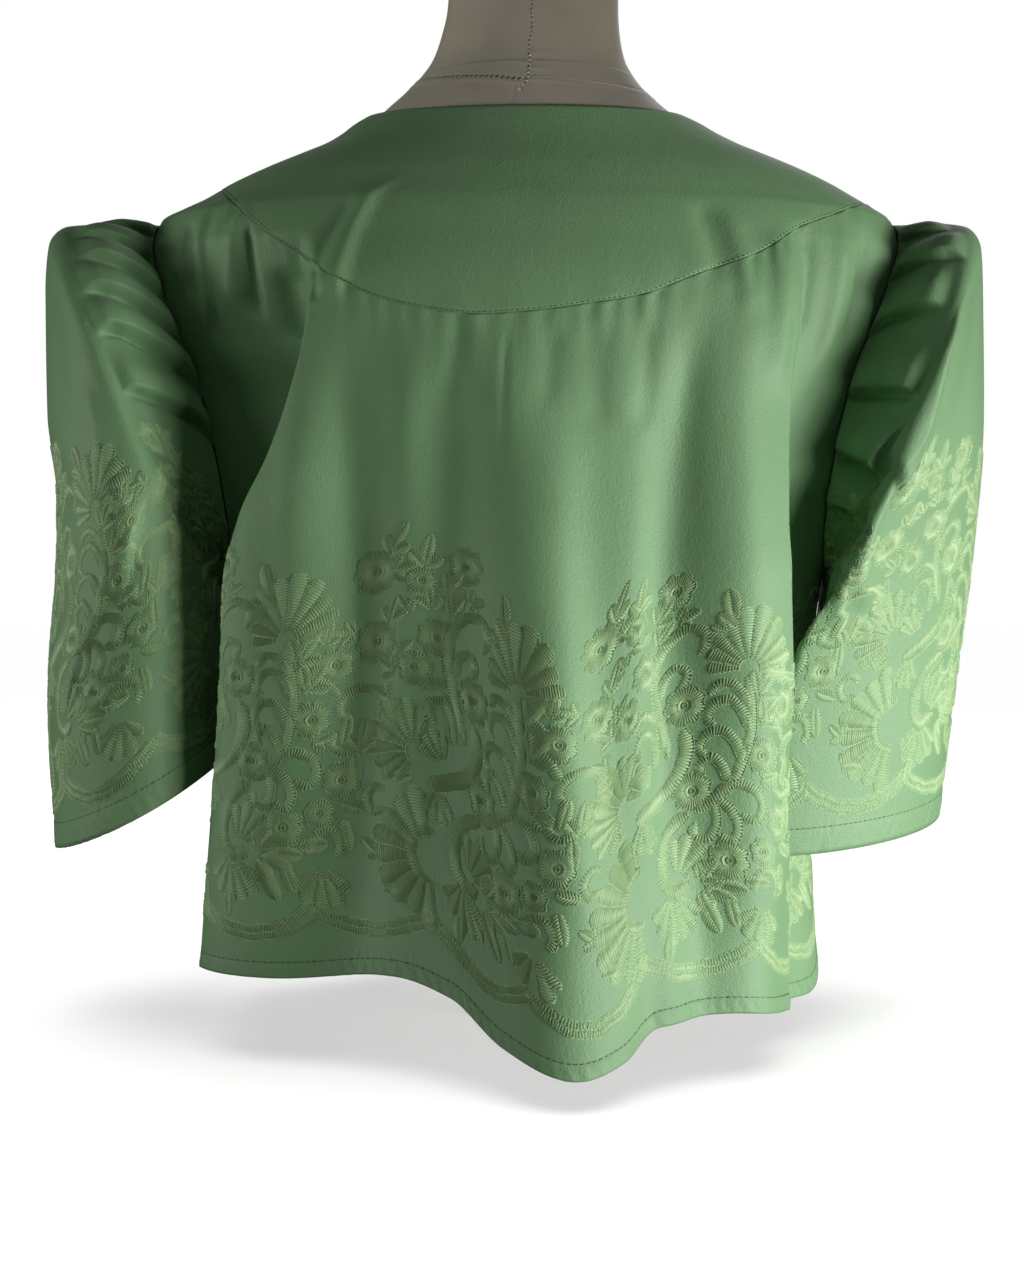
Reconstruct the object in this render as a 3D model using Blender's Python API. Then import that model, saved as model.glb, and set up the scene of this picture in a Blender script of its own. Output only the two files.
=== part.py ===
"""Cropped bolero jacket with pleated wide sleeves and an embroidered border, worn on a dress form.

Metres, +Z up. The jacket's back faces -Y and its open front faces +Y. The origin is on the
surface that the form stands on, under the middle of the part. A point of the jacket's body is
named by its turn and its height: turn 0 is the centre back, 90 and -90 are the shoulder and
side seams, and 180 is the centre front. A point of a sleeve is named by its turn round the
armhole, 0 at the shoulder tip, 90 at the back and 180 under the arm, and by its way down the
sleeve, 0 at the armhole and 1 at the cuff.
"""

import math

import bpy
import numpy as np

# Driving sizes of the cloth
CLOTH = 0.0012                # thickness of every cloth wall
SEAM_GAP = 0.0006             # between two pieces that are sewn together
ARMHOLE_GAP = 0.0007          # between a sleeve and the armhole that it is sewn to
SHOULDER_TIP = 0.448          # height of the armhole's top
UNDERARM = 0.250              # height of the armhole's lowest point
ARMHOLE_BACK = {-1: 0.17, 1: 0.24}   # how far each armhole bites into the back's quarter turn
ARMHOLE_FRONT = 0.30          # the same for both fronts
SHOULDER_BACK = 5.0           # how far the shoulder seam lies behind the shoulder line, in turn
NECK_POINT = 0.507            # height where the neckline meets the shoulder seam
NECK_DIP = 0.005              # how much lower the neckline is at the centre back

# The body of the jacket, as level sections
BODY_COLUMNS = ("height", "half_width", "back_depth", "front_depth", "shift")
BODY = (
    (0.000, 0.1660, 0.190, 0.146, 0.000),
    (0.100, 0.1610, 0.166, 0.136, 0.001),
    (0.150, 0.1600, 0.155, 0.132, 0.001),
    (0.200, 0.1625, 0.147, 0.130, 0.001),
    (0.250, 0.1700, 0.138, 0.128, 0.000),
    (0.300, 0.1840, 0.131, 0.126, 0.000),
    (0.360, 0.1980, 0.125, 0.118, 0.000),
    (0.400, 0.2087, 0.118, 0.109, 0.000),
    (0.430, 0.2120, 0.107, 0.098, 0.000),
    (0.448, 0.2075, 0.099, 0.090, 0.000),
    (0.453, 0.1990, 0.096, 0.087, 0.001),
    (0.460, 0.1860, 0.092, 0.083, 0.003),
    (0.4685, 0.1715, 0.087, 0.077, 0.003),
    (0.4773, 0.1530, 0.081, 0.070, 0.003),
    (0.485, 0.1340, 0.076, 0.063, 0.003),
    (0.490, 0.1215, 0.073, 0.059, 0.003),
    (0.497, 0.1085, 0.069, 0.054, 0.002),
    (0.502, 0.1010, 0.066, 0.050, 0.001),
    (0.507, 0.0915, 0.063, 0.046, 0.000),
    (0.516, 0.0780, 0.057, 0.040, 0.000),
)

# Soft folds of the body: each runs from its turn at the top to its turn at the hem
FOLD_COLUMNS = ("turn_top", "turn_hem", "spread_top", "spread_hem", "proud_top", "proud_hem", "top")
FOLDS = (
    (-24.0, -38.0, 6.0, 13.0, -0.003, -0.016, 0.395),
    (-18.0, -31.0, 4.5, 8.0, 0.003, 0.000, 0.380),
    (-12.0, -22.0, 8.0, 13.0, -0.005, -0.009, 0.365),
    (-3.0, 4.5, 7.0, 12.0, 0.006, 0.020, 0.382),
    (12.0, 17.0, 9.0, 15.0, 0.002, 0.009, 0.384),
    (20.0, 19.5, 5.0, 5.0, -0.001, -0.006, 0.110),
    (25.0, 31.0, 3.5, 6.0, -0.004, -0.004, 0.392),
    (34.0, 42.0, 6.0, 9.0, 0.005, 0.009, 0.415),
    (-70.0, -78.0, 6.0, 10.0, 0.002, 0.006, 0.250),
    (70.0, 74.0, 6.0, 10.0, 0.002, 0.006, 0.250),
    (112.0, 110.0, 8.0, 11.0, 0.003, 0.012, 0.420),
    (134.0, 131.0, 7.0, 9.0, -0.002, -0.008, 0.440),
    (150.0, 152.0, 8.0, 11.0, 0.003, 0.012, 0.450),
    (-110.0, -113.0, 8.0, 11.0, 0.003, 0.013, 0.420),
    (-131.0, -134.0, 7.0, 9.0, -0.002, -0.008, 0.440),
    (-151.0, -153.0, 8.0, 11.0, 0.003, 0.011, 0.450),
)

# The deep tuck behind each arm: a long crest, and past it the back falls away
TUCK_COLUMNS = (
    "height", "edge_left", "proud_left", "depth_left", "edge_right", "proud_right", "depth_right",
)
TUCKS = (
    (0.000, -64.0, 0.024, 0.000, 54.0, 0.000, 0.012),
    (0.050, -63.5, 0.028, 0.002, 53.0, 0.003, 0.014),
    (0.100, -62.5, 0.029, 0.006, 49.0, 0.012, 0.017),
    (0.150, -61.0, 0.029, 0.010, 48.0, 0.017, 0.021),
    (0.200, -58.0, 0.029, 0.014, 47.5, 0.021, 0.023),
    (0.250, -54.5, 0.026, 0.020, 46.5, 0.019, 0.021),
    (0.280, -50.0, 0.020, 0.027, 45.5, 0.013, 0.018),
    (0.310, -43.5, 0.012, 0.031, 45.0, 0.007, 0.015),
    (0.340, -38.5, 0.006, 0.031, 44.5, 0.003, 0.012),
    (0.370, -34.5, 0.004, 0.023, 44.0, 0.002, 0.009),
    (0.400, -32.0, 0.003, 0.013, 43.0, 0.002, 0.005),
    (0.430, -31.0, 0.000, 0.000, 42.0, 0.000, 0.000),
)
TUCK_RISE = 20.0              # turn over which the cloth climbs to a tuck's crest
TUCK_TURN = 4.0               # turn over which it drops past the crest

# The back yoke's seam, from the left shoulder seam to the right one
YOKE_SEAM_COLUMNS = ("from_centre", "height")
YOKE_SEAM = (
    (-0.1760, 0.4690), (-0.1560, 0.4480), (-0.1370, 0.4304), (-0.1098, 0.4107),
    (-0.0713, 0.3902), (-0.0245, 0.3825), (0.0060, 0.3845), (0.0311, 0.3882),
    (0.0548, 0.3923), (0.0902, 0.4061), (0.1212, 0.4188), (0.1445, 0.4341),
    (0.1699, 0.4459), (0.1900, 0.4600),
)

# Height of the hem's edge round the body
HEM_COLUMNS = ("turn", "height")
HEM = (
    (-180.0, 0.048), (-140.0, 0.048), (-90.0, 0.050), (-73.0, 0.050), (-64.0, 0.044),
    (-50.0, 0.0445), (-26.0, 0.0510), (-14.0, 0.0450), (-4.0, 0.0265), (7.0, 0.0150),
    (14.0, 0.0200), (22.0, 0.0320), (35.0, 0.0335), (52.0, 0.0265), (70.0, 0.0230),
    (90.0, 0.0450), (140.0, 0.0460), (180.0, 0.0480),
)

# The front edges, from the hem up to the neck
FRONT_EDGE_COLUMNS = ("height", "from_centre")
FRONT_EDGE = (
    (0.040, 0.052), (0.060, 0.043), (0.100, 0.038), (0.200, 0.037), (0.300, 0.040),
    (0.380, 0.050), (0.430, 0.062), (0.470, 0.078), (0.492, 0.090), (0.502, 0.095),
)

# Each sleeve's outline seen from behind: its outer line, its inner line and its depth
SLEEVE_COLUMNS = ("way", "outer_x", "outer_z", "inner_x", "inner_z", "depth", "lean", "lift")
SLEEVE_LEFT = (
    (0.00, 0.2075, 0.4480, 0.166, 0.250, 0.062, 0.00, 0.000),
    (0.08, 0.2330, 0.4480, 0.171, 0.245, 0.076, 0.00, 0.000),
    (0.16, 0.2590, 0.4465, 0.172, 0.240, 0.086, 0.04, 0.000),
    (0.22, 0.2690, 0.4370, 0.171, 0.235, 0.090, 0.08, 0.000),
    (0.30, 0.2712, 0.4080, 0.170, 0.229, 0.092, 0.10, 0.001),
    (0.45, 0.2700, 0.3400, 0.168, 0.216, 0.092, 0.10, 0.000),
    (0.54, 0.2645, 0.2980, 0.167, 0.207, 0.091, 0.10, 0.000),
    (0.60, 0.2645, 0.2700, 0.166, 0.201, 0.091, 0.10, 0.000),
    (0.80, 0.2695, 0.1820, 0.165, 0.177, 0.090, 0.10, -0.002),
    (1.00, 0.2655, 0.0975, 0.163, 0.152, 0.090, 0.10, -0.004),
)
SLEEVE_RIGHT = (
    (0.00, 0.2075, 0.4480, 0.166, 0.250, 0.062, 0.00, 0.000),
    (0.08, 0.2290, 0.4485, 0.171, 0.245, 0.076, 0.00, 0.000),
    (0.16, 0.2480, 0.4465, 0.172, 0.240, 0.086, 0.03, 0.000),
    (0.22, 0.2560, 0.4360, 0.171, 0.235, 0.090, 0.08, 0.000),
    (0.30, 0.2580, 0.4030, 0.170, 0.226, 0.092, 0.17, -0.002),
    (0.45, 0.2595, 0.3380, 0.167, 0.208, 0.092, 0.38, -0.006),
    (0.60, 0.2540, 0.2650, 0.165, 0.186, 0.091, 0.68, -0.010),
    (0.80, 0.2440, 0.1870, 0.164, 0.156, 0.090, 0.82, -0.014),
    (1.00, 0.2350, 0.1160, 0.164, 0.124, 0.090, 0.78, -0.018),
)
SLEEVE_JOIN = 0.10            # way over which a sleeve's section leaves the armhole's shape
SLEEVE_HEAD = 0.24            # way whose rows lie closer together, for the pleats
PLEAT_REACH = 0.34            # how far down the sleeve the pleats run
PLEAT_CLIMB = 90.0            # how much a pleat turns towards the shoulder for the whole way
PLEAT_STEP = 5.0              # turn over which a pleat's edge drops
PLEAT_TOP = 8.0               # turn of a pleat's flat top before its edge
PLEAT_RISE = 13.0             # turn over which it rises to its full height, ending 2 before the edge
WIDEST_COLUMN = 13.0          # turn between two lengthwise lines of a sleeve's grid, at most
PLEAT_COLUMNS = ("turn_left", "turn_right", "proud")
PLEATS = (
    (22.0, 28.0, 0.004), (42.0, 50.0, 0.005), (59.0, 70.0, 0.006), (75.0, 89.0, 0.006),
    (90.0, 107.0, 0.007), (106.0, 126.0, 0.008),
    (238.0, 238.0, 0.006), (256.0, 256.0, 0.006), (273.0, 273.0, 0.006), (290.0, 290.0, 0.006),
    (308.0, 308.0, 0.005), (328.0, 328.0, 0.004),
)

# The raised scallop band of the embroidered border
BAND_LOW = 0.022              # its middle above the hem at the bottom of a scallop
BAND_HIGH = 0.036             # the same at the point between two scallops
BAND_WIDTH = 0.008
BAND_REPEAT = 0.070           # from one point to the next, along the hem
BAND_THICK = 0.0008
BAND_CLEAR = 0.0010           # between the cloth and the band on it
BAND_CORNERS = (              # a section's corners: share of the width from its middle, and lift
    (-0.5, BAND_CLEAR + BAND_THICK),
    (0.5, BAND_CLEAR + BAND_THICK),
    (-0.5, BAND_CLEAR),
    (0.5, BAND_CLEAR),
)

# The dress form, as level sections
FORM_COLUMNS = ("height", "half_width", "back_depth", "front_depth", "shift")
FORM = (
    (0.000, 0.0430, 0.0280, 0.0680, 0.0080),
    (0.002, 0.0450, 0.0300, 0.0700, 0.0080),
    (0.030, 0.0450, 0.0300, 0.0700, 0.0080),
    (0.035, 0.0600, 0.0450, 0.0800, 0.0040),
    (0.042, 0.1000, 0.0720, 0.0940, 0.0000),
    (0.052, 0.1220, 0.0860, 0.0980, 0.0000),
    (0.070, 0.1300, 0.0920, 0.1000, 0.0000),
    (0.120, 0.1280, 0.0880, 0.0990, 0.0000),
    (0.180, 0.1330, 0.0920, 0.1060, 0.0000),
    (0.260, 0.1450, 0.0880, 0.1170, 0.0000),
    (0.320, 0.1500, 0.0860, 0.1120, 0.0000),
    (0.360, 0.1630, 0.0890, 0.1040, 0.0000),
    (0.400, 0.1800, 0.0950, 0.0960, 0.0000),
    (0.430, 0.1860, 0.0950, 0.0880, 0.0000),
    (0.446, 0.1850, 0.0925, 0.0830, 0.0000),
    (0.453, 0.1815, 0.0905, 0.0793, 0.0010),
    (0.461, 0.1735, 0.0865, 0.0753, 0.0020),
    (0.469, 0.1605, 0.0820, 0.0703, 0.0020),
    (0.478, 0.1415, 0.0765, 0.0643, 0.0020),
    (0.487, 0.1200, 0.0715, 0.0573, 0.0020),
    (0.497, 0.1006, 0.0665, 0.0513, 0.0020),
    (0.504, 0.0897, 0.0629, 0.0467, 0.0010),
    (0.513, 0.0790, 0.0575, 0.0440, 0.0000),
    (0.521, 0.0700, 0.0530, 0.0440, 0.0000),
    (0.530, 0.0618, 0.0490, 0.0460, 0.0007),
    (0.541, 0.0550, 0.0455, 0.0490, 0.0016),
    (0.554, 0.0512, 0.0430, 0.0520, 0.0026),
    (0.570, 0.0488, 0.0410, 0.0550, 0.0039),
    (0.590, 0.0480, 0.0400, 0.0565, 0.0046),
    (0.597, 0.0465, 0.0385, 0.0555, 0.0046),
    (0.600, 0.0430, 0.0350, 0.0520, 0.0046),
)

# Finish: colour, roughness and metallic value
GREEN_CLOTH = ((0.17, 0.34, 0.16), 0.62, 0.0)
BAND_THREAD = ((0.24, 0.41, 0.19), 0.55, 0.0)
FORM_COVER = ((0.36, 0.33, 0.28), 0.45, 0.0)


def smooth_curve(knots, values, at):
    """A smooth curve through a table's values that never overshoots them."""
    knots = np.asarray(knots, float)
    values = np.asarray(values, float)
    at = np.clip(at, knots[0], knots[-1])
    step = np.diff(knots)
    slope = np.diff(values) / step
    tangent = np.zeros(len(knots))
    tangent[0], tangent[-1] = slope[0], slope[-1]
    for i in range(1, len(knots) - 1):
        if slope[i - 1] * slope[i] > 0:
            before, after = 2 * step[i] + step[i - 1], step[i] + 2 * step[i - 1]
            tangent[i] = (before + after) / (before / slope[i - 1] + after / slope[i])
    i = np.clip(np.searchsorted(knots, at, side="right") - 1, 0, len(step) - 1)
    t = (at - knots[i]) / step[i]
    return (
        (2 * t**3 - 3 * t**2 + 1) * values[i]
        + (t**3 - 2 * t**2 + t) * step[i] * tangent[i]
        + (3 * t**2 - 2 * t**3) * values[i + 1]
        + (t**3 - t**2) * step[i] * tangent[i + 1]
    )


def read(table, columns, name, at):
    """One named column of a table, read at the given values of its first column."""
    rows = np.array(table, float)
    return smooth_curve(rows[:, 0], rows[:, columns.index(name)], at)


def unit(vectors):
    """The same vectors, each 1 long."""
    return vectors / np.linalg.norm(vectors, axis=-1, keepdims=True)


def ease(t):
    """Rises smoothly from 0 to 1."""
    t = np.clip(t, 0.0, 1.0)
    return t * t * (3 - 2 * t)


def ease_out(t):
    """Rises from 0 and settles at 1."""
    return 1 - (1 - np.clip(t, 0.0, 1.0)) ** 2


def bump(t):
    """A soft ridge, 1 at its crest and 0 past -1.6 and 1.6."""
    return np.exp(-1.4 * t * t)


def body_relief(turn, height):
    """How far the folds and tucks lift the cloth from its plain section."""
    relief = np.zeros(np.broadcast(turn, height).shape)
    for row in FOLDS:
        fold = dict(zip(FOLD_COLUMNS, row))
        fall = ease((fold["top"] - height) / fold["top"])
        centre = fold["turn_top"] + (fold["turn_hem"] - fold["turn_top"]) * fall
        spread = fold["spread_top"] + (fold["spread_hem"] - fold["spread_top"]) * fall
        proud = fold["proud_top"] + (fold["proud_hem"] - fold["proud_top"]) * fall
        start = ease((fold["top"] - height) / 0.05)
        relief = relief + proud * start * bump((turn - centre) / spread)
    for side, hand in ((-1, "_left"), (1, "_right")):
        edge = side * read(TUCKS, TUCK_COLUMNS, "edge" + hand, height)
        proud = read(TUCKS, TUCK_COLUMNS, "proud" + hand, height)
        depth = read(TUCKS, TUCK_COLUMNS, "depth" + hand, height)
        past = side * turn - edge
        fall = ease(past / TUCK_TURN)
        fade = 1 - ease((past - TUCK_TURN) / (89.0 - edge))
        crest = proud * bump(np.minimum(past, 0.0) / TUCK_RISE) * (1 - fall)
        relief = relief + crest - depth * fall * fade
    return relief


def body_point(turn, height, relief=True):
    """A point of the jacket's body."""
    turn, height = np.broadcast_arrays(np.asarray(turn, float), np.asarray(height, float))
    angle = np.radians(turn)
    half_width = read(BODY, BODY_COLUMNS, "half_width", height)
    back = read(BODY, BODY_COLUMNS, "back_depth", height)
    front = read(BODY, BODY_COLUMNS, "front_depth", height)
    depth = np.where(np.cos(angle) > 0, back, front)
    shift = read(BODY, BODY_COLUMNS, "shift", height)
    point = np.stack((shift + half_width * np.sin(angle), -depth * np.cos(angle), height), -1)
    if relief:
        normal = unit(np.stack((np.sin(angle) / half_width, -np.cos(angle) / depth, 0 * angle), -1))
        point = point + normal * body_relief(turn, height)[..., None]
    return point


def outward(surface, across, along, across_step, along_step):
    """Unit normals of a surface given by two numbers, pointing to the outside of the cloth."""
    one = surface(across + across_step, along) - surface(across - across_step, along)
    two = surface(across, along + along_step) - surface(across, along - along_step)
    return unit(np.cross(one, two))


def armhole(turn, side):
    """An armhole's edge as a turn of the body, counted up to its own side, and a height."""
    angle = np.radians(turn)
    middle = (SHOULDER_TIP + UNDERARM) / 2
    reach = (SHOULDER_TIP - UNDERARM) / 2
    bite = np.where(np.sin(angle) > 0, ARMHOLE_BACK[side], ARMHOLE_FRONT)
    return 90.0 - 90.0 * bite * np.sin(angle), middle + reach * np.cos(angle)


def sleeve_base(turn, way, side, table):
    """A point of a sleeve's plain tube, before its pleats. Side is 1 for right, -1 for left."""
    turn, way = np.broadcast_arrays(np.asarray(turn, float), np.asarray(way, float))
    angle = np.radians(turn)
    column = {name: read(table, SLEEVE_COLUMNS, name, way) for name in SLEEVE_COLUMNS[1:]}
    middle_x = (column["outer_x"] + column["inner_x"]) / 2
    middle_z = (column["outer_z"] + column["inner_z"]) / 2
    reach_x = (column["outer_x"] - column["inner_x"]) / 2
    reach_z = (column["outer_z"] - column["inner_z"]) / 2
    back = column["depth"] * np.sin(angle)
    curl = column["lean"] * column["depth"] * np.maximum(np.sin(angle), 0) ** 2
    x = middle_x + reach_x * np.cos(angle) - curl
    z = middle_z + reach_z * np.cos(angle) + column["lift"] * np.abs(np.sin(angle))
    tube = np.stack((side * x, -back, z), -1)
    body_turn, height = armhole(turn, side)
    start = body_point(side * body_turn, height)
    start[..., 0] += side * (ARMHOLE_GAP + way * (0.03 + 0.20 * (1 + np.cos(angle)) / 2))
    blend = ease(way / SLEEVE_JOIN)[..., None]
    return start * (1 - blend) + tube * blend


def pleats(side):
    """Each pleat's turn at the armhole and its height, for one sleeve."""
    name = "turn_left" if side < 0 else "turn_right"
    return [(row[PLEAT_COLUMNS.index(name)], row[PLEAT_COLUMNS.index("proud")]) for row in PLEATS]


def climb(turn, way):
    """How far the pleats have turned towards the shoulder at a way, by their turn at the armhole."""
    down = np.minimum(turn, 360 - turn)
    swing = ease(down / 62.0) * (1 - ease((down - 100.0) / 80.0))
    back = np.where(turn < 180, 1, -1)
    return back * PLEAT_CLIMB * PLEAT_REACH * swing * ease_out(way / PLEAT_REACH)


def pleat_relief(turn, way, side):
    """Knife pleats: each rises slowly and drops at once, and dies out down the sleeve."""
    relief = np.zeros(np.broadcast(turn, way).shape)
    fade = ease(way / 0.05) * (1 - ease((way - 0.06) / (PLEAT_REACH - 0.06)))
    for edge, proud in pleats(side):
        back = 1 if edge < 180 else -1
        past = back * (turn - edge + climb(np.array(edge), way))
        rise = ease((past + PLEAT_RISE + 2.0) / PLEAT_RISE) * (1 - ease(past / PLEAT_STEP))
        relief = relief + proud * rise * fade
    return relief


def sleeve_point(turn, way, side, table):
    """A point of a sleeve's outer face."""
    def plain(a, b):
        return sleeve_base(a, b, side, table)

    normal = side * outward(plain, turn, np.clip(way, 0.004, 0.996), 0.5, 0.004)
    return plain(turn, way) + normal * pleat_relief(turn, way, side)[..., None]


def coons(bottom, top, left, right, fade=3.0):
    """Fills a patch between four edge curves. The sides' shape dies out towards the middle."""
    across = np.linspace(0, 1, len(bottom))[None, :, None]
    along = np.linspace(0, 1, len(left))[:, None, None]
    ruled = bottom[None] * (1 - along) + top[None] * along
    from_left = left[:, None] - (left[0] * (1 - along) + left[-1] * along)
    from_right = right[:, None] - (right[0] * (1 - along) + right[-1] * along)
    return ruled + from_left * (1 - across) ** fade + from_right * across**fade


def respaced(points, count, weights=(1.0, 1.0)):
    """The same curve with its points evenly spaced. Weights scale the two coordinates."""
    points = np.asarray(points, float)
    lengths = np.linalg.norm(np.diff(points, axis=0) * np.array(weights), axis=1)
    run = np.concatenate(([0.0], np.cumsum(lengths)))
    at = np.linspace(0, run[-1], count)
    return np.stack([np.interp(at, run, points[:, k]) for k in range(2)], -1)


DOMAIN = (0.0023, 1.0)        # metres for a degree of turn, and for a metre of height
FINE = 400                    # points of an edge curve before it is respaced
SIDE_POINTS = 9               # points of a side seam
ARMHOLE_POINTS = 13           # points of one half of an armhole
STUB_POINTS = 3               # points of a shoulder seam below the yoke's corner
SHOULDER_POINTS = 8           # points of a shoulder seam above it
HALF_GAP = 0.12               # half of a seam's gap, in turn
FRONT_FADE = 1.15             # how fast the armhole's shape dies out across a front
NORMAL_SHARE = 0.6            # how much of its neighbours' normals a sleeve's normal takes


def seam_turn(height):
    """Where the side seam, and above the armhole the shoulder seam, lies."""
    return 90.0 - SHOULDER_BACK * ease((height - SHOULDER_TIP) / 0.02)


def side_edge(front, side, top):
    """One side of a panel: side seam, armhole, then the shoulder seam up to the given height."""
    gap = HALF_GAP if front else -HALF_GAP
    turns = np.linspace(180, 0, ARMHOLE_POINTS)
    body_turn, height = armhole(-turns if front else turns, side)
    body_turn = np.maximum(body_turn, 90 + gap) if front else np.minimum(body_turn, 90 + gap)
    hem = read(HEM, HEM_COLUMNS, "height", np.array([90.0 * side]))[0]
    low = np.linspace(hem, UNDERARM, SIDE_POINTS)[:-1]
    points = [(90 + gap, z) for z in low] + list(zip(body_turn, height))
    if top > SHOULDER_TIP:
        stub = np.linspace(SHOULDER_TIP, top, STUB_POINTS)[1:]
        points += [(seam_turn(z) + gap, z) for z in stub]
    return np.array(points)


def shoulder_height(x):
    """The shoulder seam's height at a distance from the centre."""
    heights = np.linspace(SHOULDER_TIP, 0.512, 200)
    reach = read(BODY, BODY_COLUMNS, "half_width", heights) * np.sin(np.radians(seam_turn(heights)))
    return np.interp(-x, -reach, heights)


def yoke_seam(count):
    """The yoke's curved seam, from the left shoulder seam to the right one, in turn and height."""
    rows = np.array(YOKE_SEAM)
    ends = shoulder_height(abs(rows[0, 0])), shoulder_height(rows[-1, 0])
    rows[0, 1], rows[-1, 1] = ends
    x = np.linspace(rows[0, 0], rows[-1, 0], count)
    height = smooth_curve(rows[:, 0], rows[:, 1], x)
    half_width = read(BODY, BODY_COLUMNS, "half_width", height)
    turn = np.degrees(np.arcsin(np.clip(x / half_width, -1, 1)))
    limit = seam_turn(height) - HALF_GAP
    turn = np.clip(turn, -limit, limit)
    turn[0], turn[-1] = -limit[0], limit[-1]
    return np.stack((turn, height), -1)


def hem_line(turns):
    """The hem's edge between the given turns."""
    return np.stack((turns, read(HEM, HEM_COLUMNS, "height", turns)), -1)


def tuck_turns(height):
    """Turns of the lines that follow the two tucks: both ends and the middle of each drop."""
    left = read(TUCKS, TUCK_COLUMNS, "edge_left", height)
    right = read(TUCKS, TUCK_COLUMNS, "edge_right", height)
    steps = (0.0, TUCK_TURN / 2, TUCK_TURN)
    return [left - step for step in steps[::-1]] + [right + step for step in steps]


def follow_tucks(rows, shares):
    """Picks points of each finely spaced row so that lines of the grid run along the tucks."""
    picked = []
    for row in rows:
        along = np.arange(len(row), dtype=float)
        knots = [0.0]
        for k in range(6):
            past = row[:, 0] - tuck_turns(row[:, 1])[k]
            knots.append(float(np.interp(0.0, past, along)))
        knots.append(along[-1])
        at = [knots[0]]
        for start, stop, share in zip(knots, knots[1:], shares):
            at += list(np.linspace(start, stop, share + 1)[1:])
        picked.append(np.stack([np.interp(at, along, row[:, k]) for k in range(2)], -1))
    return np.array(picked)


def back_domain(shares):
    """The back panel in turn and height. Shares are its columns beside and between the tucks."""
    seam = yoke_seam(FINE)
    left = side_edge(False, -1, seam[0, 1]) * (-1, 1)
    right = side_edge(False, 1, seam[-1, 1])
    bottom = hem_line(np.linspace(left[0, 0], right[0, 0], FINE))
    rows = coons(respaced(bottom, FINE, DOMAIN), respaced(seam, FINE, DOMAIN), left, right)
    return follow_tucks(rows, shares)


def yoke_domain(seam):
    """The back yoke in turn and height, from its seam's points."""
    end = seam_turn(NECK_POINT) - HALF_GAP
    turn = np.interp(seam[:, 0], (seam[0, 0], seam[-1, 0]), (-end, end))
    neck = np.stack((turn, NECK_POINT - NECK_DIP * np.cos(np.radians(turn * 90 / end))), -1)
    edges = []
    for side, corner in ((-1, seam[0, 1]), (1, seam[-1, 1])):
        height = np.linspace(corner, NECK_POINT, SHOULDER_POINTS)
        edges.append(np.stack((side * (seam_turn(height) - HALF_GAP), height), -1))
    return coons(seam, neck, *edges)


def front_domain(side):
    """One front in turn and height, from its side seam to its front edge."""
    seam = side_edge(True, side, SHOULDER_TIP)
    corner = shoulder_height(YOKE_SEAM[0 if side < 0 else -1][0] * side)
    stub = np.linspace(SHOULDER_TIP, corner, STUB_POINTS)
    shoulder = np.concatenate((stub, np.linspace(corner, NECK_POINT, SHOULDER_POINTS)[1:]))
    top = np.stack((seam_turn(shoulder) + HALF_GAP, shoulder), -1)
    heights = np.linspace(FRONT_EDGE[0][0], FRONT_EDGE[-1][0], FINE)
    x = read(FRONT_EDGE, FRONT_EDGE_COLUMNS, "from_centre", heights)
    half_width = read(BODY, BODY_COLUMNS, "half_width", heights)
    turn = 180.0 - np.degrees(np.arcsin(np.clip(x / half_width, -1, 1)))
    edge = np.concatenate((np.stack((turn, heights), -1), [top[-1]]))
    bottom = hem_line(side * np.linspace(seam[0, 0], edge[0, 0], FINE)) * (side, 1)
    edge[0] = bottom[-1]
    return (side, 1) * coons(
        respaced(bottom, len(top), DOMAIN), top, seam, respaced(edge, len(seam), DOMAIN), FRONT_FADE,
    )


def finish(name, look):
    """A plain material for one object."""
    colour, roughness, metallic = look
    material = bpy.data.materials.new(name)
    material.use_nodes = True
    shader = material.node_tree.nodes["Principled BSDF"]
    shader.inputs["Base Color"].default_value = (*colour, 1.0)
    shader.inputs["Roughness"].default_value = roughness
    shader.inputs["Metallic"].default_value = metallic
    return material


def add_object(name, points, faces, look):
    """Adds one closed mesh with its faces pointing out."""
    points = np.asarray(points)
    volume = 0.0
    for face in faces:
        for k in range(1, len(face) - 1):
            a, b, c = points[face[0]], points[face[k]], points[face[k + 1]]
            volume += np.dot(a, np.cross(b, c))
    if volume < 0:
        faces = [face[::-1] for face in faces]
    mesh = bpy.data.meshes.new(name)
    mesh.from_pydata([tuple(p) for p in points], [], faces)
    mesh.shade_smooth()
    mesh.set_sharp_from_angle(angle=math.radians(50))
    mesh.materials.append(finish(name, look))
    obj = bpy.data.objects.new(name, mesh)
    bpy.context.scene.collection.objects.link(obj)
    return obj


def tube_normals(grid):
    """Unit normals of a tube's grid of points, evened out round the tube."""
    across = np.roll(grid, -1, axis=1) - np.roll(grid, 1, axis=1)
    normal = unit(np.cross(across, np.gradient(grid, axis=0)))
    return unit(normal + NORMAL_SHARE * (np.roll(normal, 1, axis=1) + np.roll(normal, -1, axis=1)))


def halves(points, quad):
    """A four-sided face as two triangles, cut across its shorter diagonal."""
    a, b, c, d = quad
    if np.linalg.norm(points[a] - points[c]) <= np.linalg.norm(points[b] - points[d]):
        return (a, b, c), (a, c, d)
    return (a, b, d), (b, c, d)


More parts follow.
